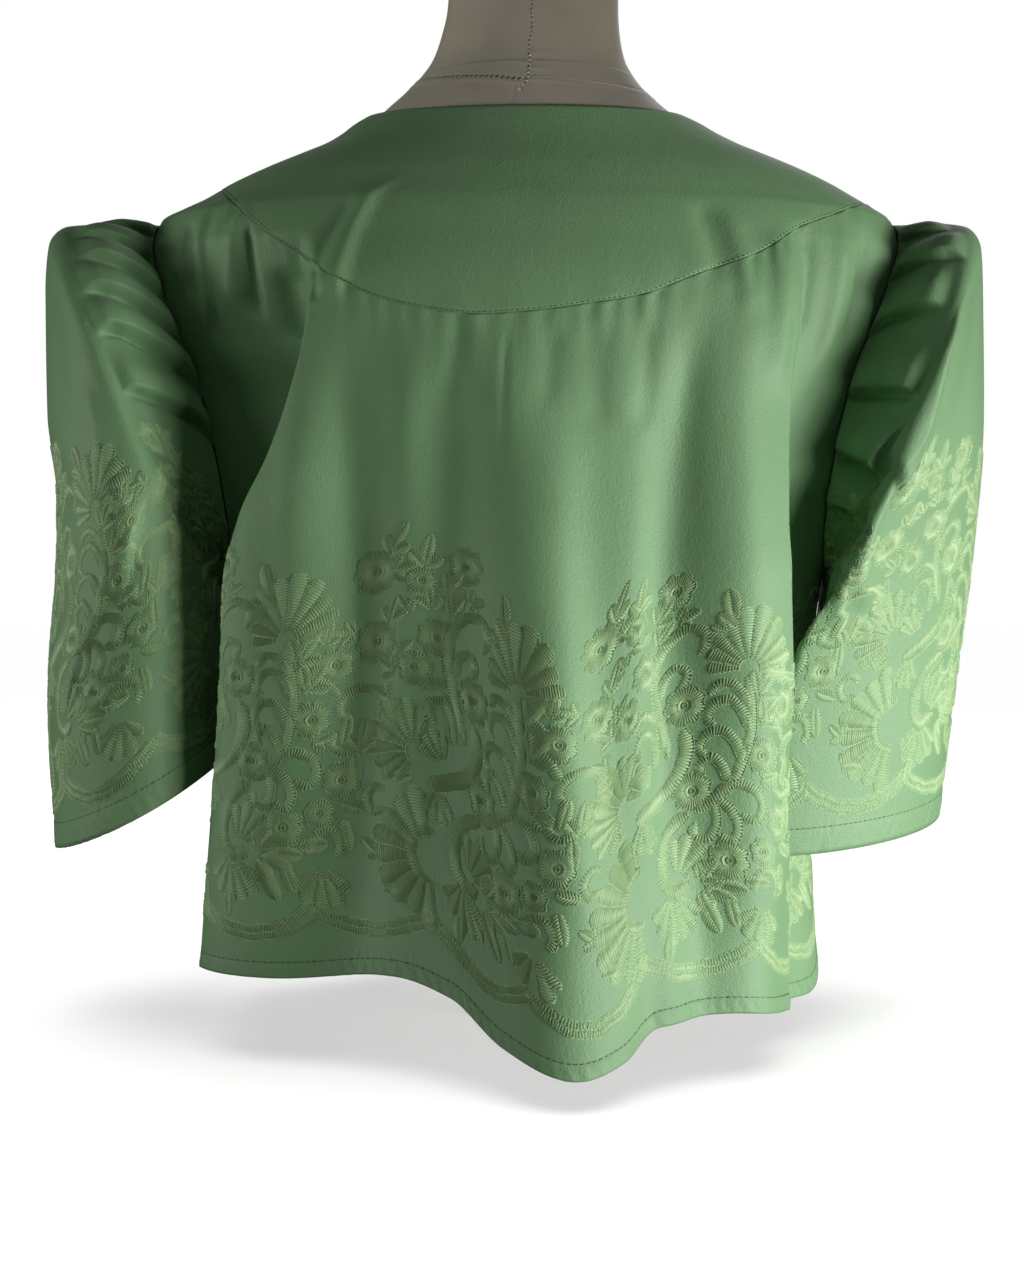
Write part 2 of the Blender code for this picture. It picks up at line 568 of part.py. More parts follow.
def cloth_wall(name, outer, normals, look, tube=False):
    """A wall of cloth: a grid of outer points, the same grid moved in, and its rims."""
    rows, columns = outer.shape[:2]
    inner = outer - normals * CLOTH
    points = np.concatenate((outer.reshape(-1, 3), inner.reshape(-1, 3)))
    second = rows * columns

    def index(row, column):
        return row * columns + column % columns

    faces = []
    last = columns if tube else columns - 1
    for row in range(rows - 1):
        for column in range(last):
            quad = (
                index(row, column), index(row, column + 1),
                index(row + 1, column + 1), index(row + 1, column),
            )
            for half in halves(points, quad):
                faces.append(half)
                faces.append(tuple(second + i for i in half[::-1]))
    for row, turned in ((0, False), (rows - 1, True)):
        for column in range(last):
            a, b = index(row, column), index(row, column + 1)
            rim = (b, a, second + a, second + b)
            faces.append(rim[::-1] if turned else rim)
    if not tube:
        for column, turned in ((0, True), (columns - 1, False)):
            for row in range(rows - 1):
                a, b = index(row, column), index(row + 1, column)
                rim = (b, a, second + a, second + b)
                faces.append(rim[::-1] if turned else rim)
    return add_object(name, points, faces, look)


def border_band(name, outer, normals, start, tube=False):
    """The scallop band of one panel, from the panel's own points, its first row being the hem."""
    if tube:
        outer = np.concatenate((outer, outer[:, :1]), axis=1)
        normals = np.concatenate((normals, normals[:, :1]), axis=1)
    rows, columns = outer.shape[:2]
    run = np.concatenate(([0.0], np.cumsum(np.linalg.norm(np.diff(outer[0], axis=0), axis=1))))
    if tube:
        repeat = run[-1] / round(run[-1] / BAND_REPEAT)
        places = np.arange(0, columns - 1, 0.5)
    else:
        repeat = BAND_REPEAT
        places = np.arange(0.5, columns - 1.4, 0.5)
    edges = ([], [], [], [])
    for place in places:
        k = min(int(place), columns - 2)
        share = place - k
        line = outer[:, k] * (1 - share) + outer[:, k + 1] * share
        out = normals[:, k] * (1 - share) + normals[:, k + 1] * share
        along = run[k] * (1 - share) + run[k + 1] * share
        dip = abs(math.sin(math.pi * (along / repeat + start))) ** 0.7
        middle = BAND_HIGH + (BAND_LOW - BAND_HIGH) * dip
        climbed = np.concatenate(([0.0], np.cumsum(np.linalg.norm(np.diff(line, axis=0), axis=1))))
        for edge, (step, lift) in zip(edges, BAND_CORNERS):
            at = middle + step * BAND_WIDTH
            point = np.array([np.interp(at, climbed, line[:, axis]) for axis in range(3)])
            normal = np.array([np.interp(at, climbed, out[:, axis]) for axis in range(3)])
            edge.append(point + unit(normal) * lift)
    count = len(places)
    points = [p for edge in edges for p in edge]
    faces = []
    for k in range(count if tube else count - 1):
        m = (k + 1) % count
        for one, two in ((0, 1), (1, 3), (3, 2), (2, 0)):
            faces.append((one * count + k, one * count + m, two * count + m, two * count + k))
    if not tube:
        for k, turned in ((0, False), (count - 1, True)):
            end = (k, count + k, 3 * count + k, 2 * count + k)
            faces.append(end[::-1] if turned else end)
    return add_object(name, points, faces, BAND_THREAD)


def body_panel(name, domain, side=1, band=None):
    """A piece of the jacket's body from its domain grid."""
    turn, height = domain[..., 0], domain[..., 1]
    outer = body_point(turn, height)
    normals = side * unit(np.cross(np.gradient(outer, axis=1), np.gradient(outer, axis=0)))
    shared = outward(body_point, turn, height, 0.6, 0.002)
    for edge in ((0, slice(None)), (-1, slice(None)), (slice(None), 0), (slice(None), -1)):
        normals[edge] = shared[edge]
    cloth_wall(name, outer, normals, GREEN_CLOTH)
    if band is not None:
        border_band(name + "_scallops", outer, normals, band)


def sleeve_columns(side):
    """Turns at the armhole for a sleeve's lengthwise lines, close together at each pleat's edge."""
    turns = [0.0, 180.0]
    for edge, _ in pleats(side):
        back = 1 if edge < 180 else -1
        turns += [edge - back * PLEAT_TOP, edge, edge + back * PLEAT_STEP]
    turns = sorted(turns)
    between = []
    for start, stop in zip(turns, turns[1:] + [360.0]):
        parts = int((stop - start) // WIDEST_COLUMN)
        between += [start + (stop - start) * k / (parts + 1) for k in range(1, parts + 1)]
    return np.array(sorted(turns + between))


def sleeve(name, side, table, rows):
    """One sleeve as a tube from its armhole to its cuff."""
    line = sleeve_columns(side)[None, :]
    near = rows * 9 // 20
    above = np.linspace(0, SLEEVE_HEAD, near, endpoint=False)
    way = np.concatenate((above, np.linspace(SLEEVE_HEAD, 1, rows - near)))
    line, way = np.broadcast_arrays(line, way[:, None])
    turn = line - climb(line, way)
    outer = sleeve_point(turn, way, side, table)
    normals = side * tube_normals(outer)
    cloth_wall(name, outer, normals, GREEN_CLOTH, tube=True)
    border_band(name + "_scallops", outer[::-1], normals[::-1], 0.0, tube=True)


def dress_form(columns):
    """The closed body and neck of the form, flat underneath and flat on top."""
    heights = np.array(FORM)[:, 0]
    angle = np.linspace(0, 2 * math.pi, columns, endpoint=False)[None, :]
    height = heights[:, None]
    half_width = read(FORM, FORM_COLUMNS, "half_width", height)
    back = read(FORM, FORM_COLUMNS, "back_depth", height)
    front = read(FORM, FORM_COLUMNS, "front_depth", height)
    depth = np.where(np.cos(angle) > 0, back, front)
    x = read(FORM, FORM_COLUMNS, "shift", height) + half_width * np.sin(angle)
    grid = np.stack((x, -depth * np.cos(angle), height + 0 * angle), -1)
    faces = []
    for row in range(len(heights) - 1):
        for column in range(columns):
            after = (column + 1) % columns
            faces.append((
                row * columns + column, row * columns + after,
                (row + 1) * columns + after, (row + 1) * columns + column,
            ))
    faces.append(tuple(range(columns))[::-1])
    faces.append(tuple((len(heights) - 1) * columns + k for k in range(columns)))
    return add_object("dress_form", grid.reshape(-1, 3), faces, FORM_COVER)


def build():
    """Every piece of the jacket and the form under it."""
    for old in list(bpy.data.objects):
        bpy.data.objects.remove(old)
    dress_form(32)
    back = back_domain((6, 1, 1, 21, 1, 1, 7))
    gap = np.array((0.0, SEAM_GAP / 2))
    body_panel("back_yoke", yoke_domain(back[-1] + gap))
    back[-1] -= gap
    body_panel("back_panel", back, band=0.40)
    body_panel("front_left", front_domain(-1), -1, band=0.10)
    body_panel("front_right", front_domain(1), band=0.10)
    sleeve("sleeve_left", -1, SLEEVE_LEFT, 16)
    sleeve("sleeve_right", 1, SLEEVE_RIGHT, 16)


build()
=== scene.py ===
"""Looks of a cropped bolero jacket with pleated sleeves and an embroidered border, on a dress form.

Metres, +Z up. The jacket's back faces -Y. A point of the body is named by its turn and height:
turn 0 is the centre back, 90 and -90 are the side seams, 180 is the centre front. A point of a
sleeve is named by its turn round the armhole, 0 at the shoulder tip, 90 at the back and 180
under the arm, and by its way down the sleeve, 0 at the armhole and 1 at the cuff. Stitches are
laid out on the flat cloth: u runs along a hem and v goes up from it. A side is -1 for left and 1
for right.
"""

import math

import bpy
import numpy as np
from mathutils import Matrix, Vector


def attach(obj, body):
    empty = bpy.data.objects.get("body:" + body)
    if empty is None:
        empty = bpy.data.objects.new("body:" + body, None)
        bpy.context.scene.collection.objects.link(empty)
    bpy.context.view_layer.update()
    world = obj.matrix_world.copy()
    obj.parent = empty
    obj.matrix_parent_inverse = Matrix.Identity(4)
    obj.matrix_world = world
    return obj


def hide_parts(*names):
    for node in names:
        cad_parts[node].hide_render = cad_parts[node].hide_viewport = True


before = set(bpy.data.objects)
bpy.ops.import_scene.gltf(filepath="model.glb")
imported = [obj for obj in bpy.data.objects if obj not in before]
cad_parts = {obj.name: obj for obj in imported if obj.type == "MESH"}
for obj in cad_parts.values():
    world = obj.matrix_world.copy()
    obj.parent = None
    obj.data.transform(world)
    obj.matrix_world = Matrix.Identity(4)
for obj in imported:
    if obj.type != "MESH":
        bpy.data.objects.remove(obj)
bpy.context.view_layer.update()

MM = 1000.0                   # millimetres in a metre


def table(columns, units, rows):
    """A table's columns by name, each divided by its unit: MM if it is written in millimetres."""
    return dict(zip(columns.split(), (np.array(rows, float) / units).T))


def rows_of(table):
    """A table's rows, each as its values by name."""
    return [dict(zip(table, row)) for row in zip(*table.values())]


# Sizes of the cloth, as in the solids
ARMHOLE_GAP = 0.0007          # between a sleeve and the body
SHOULDER_TIP = 0.448          # heights of an armhole's top and of its lowest point
UNDERARM = 0.250
ARMHOLE_BACK = {-1: 0.17, 1: 0.24}  # share of a quarter turn that an armhole takes from the back
ARMHOLE_FRONT = 0.30          # and from the front
SHOULDER_BACK = 5.0           # turn by which the shoulder seam lies behind the side seam
NECK_POINT = 0.507            # height of the neckline at the shoulder seams
NECK_DIP = 0.005              # how much lower it lies at the centre back
SHELL = 0.0008                # thickness of the cloth that shows at its edges
HANDS = {-1: "left", 1: "right"}

# The body of the jacket, as level sections
SECTION_COLUMNS = "height half_width back_depth front_depth shift"
BODY = table(SECTION_COLUMNS, MM, (
    (0, 166, 190, 146, 0), (100, 161, 166, 136, 1), (150, 160, 155, 132, 1), (200, 162.5, 147, 130, 1),
    (250, 170, 138, 128, 0), (300, 184, 131, 126, 0), (360, 198, 125, 118, 0),
    (400, 208.7, 118, 109, 0), (430, 212, 107, 98, 0), (448, 207.5, 99, 90, 0), (453, 199, 96, 87, 1),
    (460, 186, 92, 83, 3), (468.5, 171.5, 87, 77, 3), (477.3, 153, 81, 70, 3), (485, 134, 76, 63, 3),
    (490, 121.5, 73, 59, 3), (497, 108.5, 69, 54, 2), (502, 101, 66, 50, 1), (507, 91.5, 63, 46, 0),
    (516, 78, 57, 40, 0),
))

# Soft folds of the body: each runs from its turn at the top to its turn at the hem
FOLD_COLUMNS = "turn_top turn_hem spread_top spread_hem proud_top proud_hem top"
FOLDS = table(FOLD_COLUMNS, (1, 1, 1, 1, MM, MM, MM), (
    (-24, -38, 6, 13, -3, -16, 395), (-18, -31, 4.5, 8, 3, 0, 380), (-12, -22, 8, 13, -5, -9, 365),
    (-3, 4.5, 7, 12, 6, 20, 382), (12, 17, 9, 15, 2, 9, 384), (20, 19.5, 5, 5, -1, -6, 110),
    (25, 31, 3.5, 6, -4, -4, 392), (34, 42, 6, 9, 5, 9, 415), (-70, -78, 6, 10, 2, 6, 250),
    (70, 74, 6, 10, 2, 6, 250), (112, 110, 8, 11, 3, 12, 420), (134, 131, 7, 9, -2, -8, 440),
    (150, 152, 8, 11, 3, 12, 450), (-110, -113, 8, 11, 3, 13, 420), (-131, -134, 7, 9, -2, -8, 440),
    (-151, -153, 8, 11, 3, 11, 450),
))

# The deep tuck behind each arm: a long crest, and past it the back falls away
TUCK_COLUMNS = "height edge_left proud_left depth_left edge_right proud_right depth_right"
TUCKS = table(TUCK_COLUMNS, (MM, 1, MM, MM, 1, MM, MM), (
    (0, -64, 24, 0, 54, 0, 12), (50, -63.5, 28, 2, 53, 3, 14), (100, -62.5, 29, 6, 49, 12, 17),
    (150, -61, 29, 10, 48, 17, 21), (200, -58, 29, 14, 47.5, 21, 23),
    (250, -54.5, 26, 20, 46.5, 19, 21), (280, -50, 20, 27, 45.5, 13, 18),
    (310, -43.5, 12, 31, 45, 7, 15), (340, -38.5, 6, 31, 44.5, 3, 12), (370, -34.5, 4, 23, 44, 2, 9),
    (400, -32, 3, 13, 43, 2, 5), (430, -31, 0, 0, 42, 0, 0),
))
TUCK_RISE = 20.0              # turn over which a crest rises
TUCK_TURN = 4.0               # turn over which the cloth past it drops
FOLD_START = 0.05             # height over which a fold begins

# The back yoke's seam, from the left shoulder seam to the right one
YOKE_SEAM = table("x height", MM, (
    (-176, 469), (-156, 448), (-137, 430.4), (-109.8, 410.7), (-71.3, 390.2), (-24.5, 382.5),
    (6, 384.5), (31.1, 388.2), (54.8, 392.3), (90.2, 406.1), (121.2, 418.8), (144.5, 434.1),
    (169.9, 445.9), (190, 460),
))

# Height of the hem's edge round the body
HEM = table("turn height", (1, MM), (
    (-180, 48), (-140, 48), (-90, 50), (-73, 50), (-64, 44), (-50, 44.5), (-26, 51), (-14, 45),
    (-4, 26.5), (7, 15), (14, 20), (22, 32), (35, 33.5), (52, 26.5), (70, 23), (90, 45), (140, 46),
    (180, 48),
))

# The front edges, from the hem up to the neck
FRONT_EDGE = table("height from_centre", MM, (
    (40, 52), (60, 43), (100, 38), (200, 37), (300, 40), (380, 50), (430, 62), (470, 78), (492, 90),
    (502, 95),
))

# Each sleeve's outline seen from behind: its outer and inner line, its depth, how far its back leans
# towards the body as a share of the depth, and how much higher its back and front lie
SLEEVE_COLUMNS = "way outer_x outer_z inner_x inner_z depth lean lift"
SLEEVE_UNITS = (1, MM, MM, MM, MM, MM, 1, MM)
SLEEVES = {
    -1: table(SLEEVE_COLUMNS, SLEEVE_UNITS, (
        (0, 207.5, 448, 166, 250, 62, 0, 0), (0.08, 233, 448, 171, 245, 76, 0, 0),
        (0.16, 259, 446.5, 172, 240, 86, 0.04, 0), (0.22, 269, 437, 171, 235, 90, 0.08, 0),
        (0.3, 271.2, 408, 170, 229, 92, 0.1, 1), (0.45, 270, 340, 168, 216, 92, 0.1, 0),
        (0.54, 264.5, 298, 167, 207, 91, 0.1, 0), (0.6, 264.5, 270, 166, 201, 91, 0.1, 0),
        (0.8, 269.5, 182, 165, 177, 90, 0.1, -2), (1, 265.5, 97.5, 163, 152, 90, 0.1, -4),
    )),
    1: table(SLEEVE_COLUMNS, SLEEVE_UNITS, (
        (0, 207.5, 448, 166, 250, 62, 0, 0), (0.08, 229, 448.5, 171, 245, 76, 0, 0),
        (0.16, 248, 446.5, 172, 240, 86, 0.03, 0), (0.22, 256, 436, 171, 235, 90, 0.08, 0),
        (0.3, 258, 403, 170, 226, 92, 0.17, -2), (0.45, 259.5, 338, 167, 208, 92, 0.38, -6),
        (0.6, 254, 265, 165, 186, 91, 0.68, -10), (0.8, 244, 187, 164, 156, 90, 0.82, -14),
        (1, 235, 116, 164, 124, 90, 0.78, -18),
    )),
}
SLEEVE_JOIN = 0.10            # way over which a sleeve's tube leaves the armhole's shape
STAND_OUT = 0.03              # how far a way of 1 would move the armhole's shape out from the body
STAND_OUT_TOP = 0.20          # and how much farther at the shoulder
PLEAT_CLIMB = 0.13            # way over which the pleats turn towards the shoulder
PLEAT_STEP = 2.4              # turn over which a pleat's edge drops
PLEAT_GROOVE = 0.0022         # how deep the crease under a pleat is
PLEAT_LIP = 3.0               # turn of a pleat's flat top before its edge
PLEAT_ROOM = 20.0             # most turn that a pleat rises over
PLEAT_START = 0.025           # way over which a pleat reaches its full height
PLEAT_FADE = 0.055            # way over which it dies out
GROOVE_TURN = 1.3             # half the turn of the crease under a pleat
GROOVE_END = 0.060            # way before the pleat's end where that crease begins to die out
GROOVE_FADE = 0.045           # way over which it dies out
PLEAT_COLUMNS = "turn_left climb_left reach_left turn_right climb_right reach_right proud"
PLEATS = table(PLEAT_COLUMNS, (1, 1, 1, 1, 1, 1, MM), (
    (22, 8, 0.12, 28, 6, 0.12, 4), (42, 14, 0.15, 50, 10, 0.17, 5.5), (59, 18, 0.15, 70, 9, 0.14, 6.5),
    (75, 20, 0.17, 89, 0, 0.15, 7), (90, 21, 0.18, 107, -5, 0.2, 7.5),
    (105, 17, 0.17, 126, -3, 0.14, 6), (238, 10, 0.14, 238, 10, 0.14, 5.5),
    (256, 15, 0.17, 256, 14, 0.16, 6), (273, 18, 0.15, 273, 17, 0.17, 6.5),
    (290, 17, 0.17, 290, 18, 0.15, 6.5), (308, 13, 0.14, 308, 14, 0.15, 5.5),
    (328, 8, 0.12, 328, 8, 0.13, 4),
))

# Creases laid on the surfaces: from a point a to a point b, with a bow, as a ridge or a trough, and
# with a spread to each side
CREASE_COLUMNS = "across_a along_a across_b along_b bow side_a side_b proud"
BODY_CREASES = table(CREASE_COLUMNS, (1, MM, 1, MM, MM, MM, MM, MM), (
    (-3, 380, -4, 300, 0, 1.6, 1.6, -0.8), (-22, 462, -29, 385, -2, 5, 10, 3.5),
    (-25, 452, -33, 402, 0, 6, 6, -3), (-31.6, 412, -31.8, 390, 0, 3, 4, -3),
    (-38, 414, -39.5, 372, 0, 10, 10, -4.5), (-44, 440, -47.5, 385, 0, 3, 7, -5),
    (-45, 450, -55, 390, 3, 6, 7, 4), (-54.5, 450, -63, 375, 3, 5, 5, -4),
    (-55.5, 448, -60.5, 392, 2, 5, 5, 3), (-59, 445, -65, 400, 0, 5, 6, -3),
    (25, 448, 29, 398, 0, 7, 6, -2.2), (29, 446, 34, 380, 2, 7, 6, 2),
    (39, 438, 41.5, 340, 0, 6, 9, 3.4), (43.5, 440, 47, 370, 0, 7, 6, -3),
    (52, 442, 55, 350, 3, 8, 8, 3), (60, 442, 61.5, 370, 0, 6, 5, -2.5),
    (17, 386, 18, 318, 1, 6, 6, -1.6), (10.5, 382, 11, 320, -1, 6, 7, -1.2),
    (4, 380, 2.5, 330, 0, 5, 5, -1), (-9, 384, -12.5, 330, 0, 5, 6, -1.2),
    (-34, 395, -52, 60, 4, 13, 12, 3.5), (-27, 385, -40, 120, 3, 11, 10, -2.8),
    (4, 372, 9, 50, -2, 14, 16, 6.2), (21, 378, 25, 60, 0, 12, 10, -4.5),
))
SLEEVE_CREASE_UNITS = (1, 1, 1, 1, MM, MM, MM, MM)
SLEEVE_CREASES = {
    -1: table(CREASE_COLUMNS, SLEEVE_CREASE_UNITS, (
        (124, 0.08, 80, 0.62, 0, 30, 3.5, 4), (106, 0.38, 40, 0.86, 0, 34, 4, 2.6),
        (40, 0.25, 52, 0.42, 10, 20, 25, -2), (70, 0.3, 96, 0.45, 8, 12, 18, 2),
        (246, 0.12, 300, 0.62, 0, 5, 20, 3.5), (300, 0.3, 330, 0.5, 4, 15, 20, -1.5),
    )),
    1: table(CREASE_COLUMNS, SLEEVE_CREASE_UNITS, (
        (153, 0.06, 153, 0.45, 0, 13, 13, 6), (109, 0.03, 115, 0.19, 0, 20, 3.5, 5.5),
        (119, 0.11, 69, 0.47, 0, 22, 3.5, 5.5), (140, 0.06, 84, 0.5, 4, 12, 4, 4.5),
        (100, 0.42, 60, 0.62, 0, 10, 4, 4), (120, 0.3, 66, 0.66, 0, 10, 5, 3.5),
        (62, 0.18, 76, 0.37, -4, 10, 14, 3), (40, 0.22, 46, 0.42, 6, 14, 14, -1.5),
        (246, 0.12, 300, 0.6, 0, 5, 20, 3.5), (290, 0.3, 324, 0.52, 4, 15, 20, -1.5),
    )),
}
CREASE_END = 0.25             # share of a crease over which each end dies out
BODY_SCALE = (0.0026, 1.0)    # metres for a degree of turn, and for a metre of height
SLEEVE_SCALE = (0.0013, 0.34)  # metres for a degree of turn, and for the whole way

# The dress form, as level sections
FORM = table(SECTION_COLUMNS, MM, (
    (0, 43, 28, 68, 8), (2, 45, 30, 70, 8), (30, 45, 30, 70, 8), (35, 60, 45, 80, 4),
    (42, 100, 72, 94, 0), (52, 122, 86, 98, 0), (70, 130, 92, 100, 0), (120, 128, 88, 99, 0),
    (180, 133, 92, 106, 0), (260, 145, 88, 117, 0), (320, 150, 86, 112, 0), (360, 163, 89, 104, 0),
    (400, 180, 95, 96, 0), (430, 186, 95, 88, 0), (446, 185, 92.5, 83, 0), (453, 181.5, 90.5, 79.3, 1),
    (461, 173.5, 86.5, 75.3, 2), (469, 160.5, 82, 70.3, 2), (478, 141.5, 76.5, 64.3, 2),
    (487, 120, 71.5, 57.3, 2), (497, 100.6, 66.5, 51.3, 2), (504, 89.7, 62.9, 46.7, 1),
    (513, 79, 57.5, 44, 0), (521, 70, 53, 44, 0), (530, 61.8, 49, 46, 0.7), (541, 55, 45.5, 49, 1.6),
    (554, 51.2, 43, 52, 2.6), (570, 48.8, 41, 55, 3.9), (590, 48, 40, 56.5, 4.6),
    (597, 46.5, 38.5, 55.5, 4.6), (600, 43, 35, 52, 4.6),
))

# The seams of the form's cover, down its back and round the neck's foot, and the first one's puckers
BACK_SEAM = table("height turn", (MM, 1), (
    (500, -6), (508, -5), (515, -1.6), (519, 0.2), (530, 0.8), (540, -0.3), (551, 0.9), (558, -0.5),
    (575, 0.5), (600, -0.4),
))
NECK_SEAM = table("turn height", (1, MM), (
    (-180, 522), (-130, 526), (-80, 527), (-45, 523.4), (-16.5, 520.8), (-1.5, 518.6), (1.5, 520.3),
    (15, 519.7), (34, 519), (62, 519.5), (120, 520.5), (180, 522),
))
PUCKERS = table("height side reach slope proud", (MM, 1, MM, 1, MM), (
    (559, 1, 11, 0.05, 0.5), (554.5, 1, 9, 0.25, 0.3), (548, 1, 16, 0.12, 0.6), (542, 1, 6, 0.1, 0.3),
    (534, 1, 20, 0.06, 0.6), (525.5, 1, 12, -0.1, 0.5), (553.5, -1, 11, 0.35, 0.4),
    (542, -1, 5, 0.2, 0.3), (528, -1, 18, 0.2, 0.5),
))
DEGREE_OF_NECK = 0.00085      # metres round the neck for a degree of turn


# Curves and soft steps

def smooth_curve(knots, values, at):
    """A smooth curve through the values at the knots, which never overshoots them."""
    knots = np.asarray(knots, float)
    values = np.asarray(values, float)
    at = np.clip(at, knots[0], knots[-1])
    step = np.diff(knots)
    slope = np.diff(values) / step
    tangent = np.zeros(len(knots))
    tangent[0], tangent[-1] = slope[0], slope[-1]
    for i in range(1, len(knots) - 1):
        if slope[i - 1] * slope[i] > 0:
            before, after = 2 * step[i] + step[i - 1], step[i] + 2 * step[i - 1]
            tangent[i] = (before + after) / (before / slope[i - 1] + after / slope[i])
    i = np.clip(np.searchsorted(knots, at, side="right") - 1, 0, len(step) - 1)
    t = (at - knots[i]) / step[i]
    return (
        (2 * t**3 - 3 * t**2 + 1) * values[i]
        + (t**3 - 2 * t**2 + t) * step[i] * tangent[i]
        + (3 * t**2 - 2 * t**3) * values[i + 1]
        + (t**3 - t**2) * step[i] * tangent[i + 1]
    )


def read(table, name, at):
    """One named column of a table, read at the given values of its first column."""
    return smooth_curve(next(iter(table.values())), table[name], at)


def read_all(table, at):
    """All other columns of a table, read at the given values of its first column."""
    return [read(table, name, at) for name in list(table)[1:]]


def joined(*values):
    """Points made from their coordinates."""
    return np.stack(values, -1)


def unit(vectors):
    """The same vectors, each 1 long."""
    return vectors / np.maximum(np.linalg.norm(vectors, axis=-1, keepdims=True), 1e-12)


def left_of(direction):
    """Flat directions a quarter turn to the left of the given ones."""
    return joined(-direction[:, 1], direction[:, 0])


def run_along(points):
    """How far each point lies from the first one, along the first axis."""
    lengths = np.linalg.norm(np.diff(points, axis=0), axis=-1)
    return np.concatenate((np.zeros((1,) + lengths.shape[1:]), np.cumsum(lengths, axis=0)))


def points_at(places, run, points):
    """Points of a line at the given places of its run."""
    return np.stack([np.interp(places, run, points[:, k]) for k in range(2)], -1)


def picked(points, at):
    """Points of an outline or rows of a grid at places counted in its own points."""
    points = np.asarray(points, float)
    k = np.clip(np.floor(at).astype(int), 0, len(points) - 2)
    share = (at - k).reshape((-1,) + (1,) * (points.ndim - 1))
    return points[k] * (1 - share) + points[k + 1] * share


def ease(t):
    """Rises smoothly from 0 to 1."""
    t = np.clip(t, 0.0, 1.0)
    return t * t * (3 - 2 * t)


def bump(t):
    """A soft ridge, 1 at its crest and 0 past -1.6 and 1.6."""
    return np.exp(-1.4 * t * t)


def line_bump(t):
    """A narrow ridge, 1 at its crest."""
    return np.exp(-(t**2))


def crease_relief(creases, across, along, scale, whole_turn=False):
    """How far the creases lift the cloth at points named by two numbers."""
    relief = np.zeros(np.broadcast(across, along).shape)
    for across_a, along_a, across_b, along_b, bow, side_a, side_b, proud in zip(*creases.values()):
        run_x, run_y = (across_b - across_a) * scale[0], (along_b - along_a) * scale[1]
        length = math.hypot(run_x, run_y)
        away = across - across_a
        if whole_turn:
            away = (away + 180.0) % 360.0 - 180.0
        x, y = away * scale[0], (along - along_a) * scale[1]
        t = (x * run_x + y * run_y) / length**2
        s = (y * run_x - x * run_y) / length - 4 * bow * t * (1 - t)
        ends = ease(t / CREASE_END) * ease((1 - t) / CREASE_END)
        relief = relief + proud * bump(s / np.where(s > 0, side_a, side_b)) * ends
    return relief


# The jacket's surfaces

def section_point(sections, turn, height, relief):
    """A point of a body made of level sections, moved out by its relief."""
    turn, height = np.broadcast_arrays(np.asarray(turn, float), np.asarray(height, float))
    angle = np.radians(turn)
    half_width, back, front, shift = read_all(sections, height)
    depth = np.where(np.cos(angle) > 0, back, front)
    point = joined(shift + half_width * np.sin(angle), -depth * np.cos(angle), height)
    normal = unit(joined(np.sin(angle) / half_width, -np.cos(angle) / depth, 0 * angle))
    return point + normal * relief(turn, height)[..., None]


def body_relief(turn, height):
    """How far the folds, tucks and creases lift the cloth from its plain section."""
    relief = crease_relief(BODY_CREASES, turn, height, BODY_SCALE)
    for fold in rows_of(FOLDS):
        fall = ease((fold["top"] - height) / fold["top"])
        centre, spread, proud = (
            fold[name + "_top"] + (fold[name + "_hem"] - fold[name + "_top"]) * fall
            for name in ("turn", "spread", "proud")
        )
        start = ease((fold["top"] - height) / FOLD_START)
        relief = relief + proud * start * bump((turn - centre) / spread)
    for side, hand in HANDS.items():
        edge, proud, depth = (
            read(TUCKS, name + hand, height) for name in ("edge_", "proud_", "depth_")
        )
        edge = side * edge
        past = side * turn - edge
        fall = ease(past / TUCK_TURN)
        fade = 1 - ease((past - TUCK_TURN) / (89.0 - edge))
        crest = proud * bump(np.minimum(past, 0.0) / TUCK_RISE) * (1 - fall)
        relief = relief + crest - depth * fall * fade
    return relief


def body_point(turn, height):
    """A point of the jacket's body."""
    return section_point(BODY, turn, height, body_relief)


def armhole(turn, side):
    """An armhole's edge as a turn of the body, counted up to its own side, and a height."""
    angle = np.radians(turn)
    middle = (SHOULDER_TIP + UNDERARM) / 2
    reach = (SHOULDER_TIP - UNDERARM) / 2
    bite = np.where(np.sin(angle) > 0, ARMHOLE_BACK[side], ARMHOLE_FRONT)
    return 90.0 - 90.0 * bite * np.sin(angle), middle + reach * np.cos(angle)


def sleeve_base(turn, way, side):
    """A point of a sleeve's plain tube, before its pleats."""
    turn, way = np.broadcast_arrays(np.asarray(turn, float), np.asarray(way, float))
    angle = np.radians(turn)
    outer_x, outer_z, inner_x, inner_z, depth, lean, lift = read_all(SLEEVES[side], way)
    curl = lean * depth * np.maximum(np.sin(angle), 0) ** 2
    x = (outer_x + inner_x) / 2 + (outer_x - inner_x) / 2 * np.cos(angle) - curl
    z = (outer_z + inner_z) / 2 + (outer_z - inner_z) / 2 * np.cos(angle) + lift * np.abs(np.sin(angle))
    tube = joined(side * x, -depth * np.sin(angle), z)
    body_turn, height = armhole(turn, side)
    start = body_point(side * body_turn, height)
    start[..., 0] += side * (ARMHOLE_GAP + way * (STAND_OUT + STAND_OUT_TOP * (1 + np.cos(angle)) / 2))
    blend = ease(way / SLEEVE_JOIN)[..., None]
    return start * (1 - blend) + tube * blend


def pleats(side):
    """The pleats of one sleeve: each one's turn, climb, reach and height."""
    names = [name + HANDS[side] for name in ("turn_", "climb_", "reach_")] + ["proud"]
    return list(zip(*(PLEATS[name] for name in names)))


def climb(turn, way, side):
    """How far the pleats have turned towards the shoulder at a way, by their turn at the armhole."""
    rows = pleats(side)
    turns = [0.0] + [row[0] for row in rows] + [360.0]
    climbs = [0.0] + [row[1] if row[0] < 180 else -row[1] for row in rows] + [0.0]
    settled = 1 - (1 - np.clip(way / PLEAT_CLIMB, 0.0, 1.0)) ** 2
    return smooth_curve(turns, climbs, turn) * settled


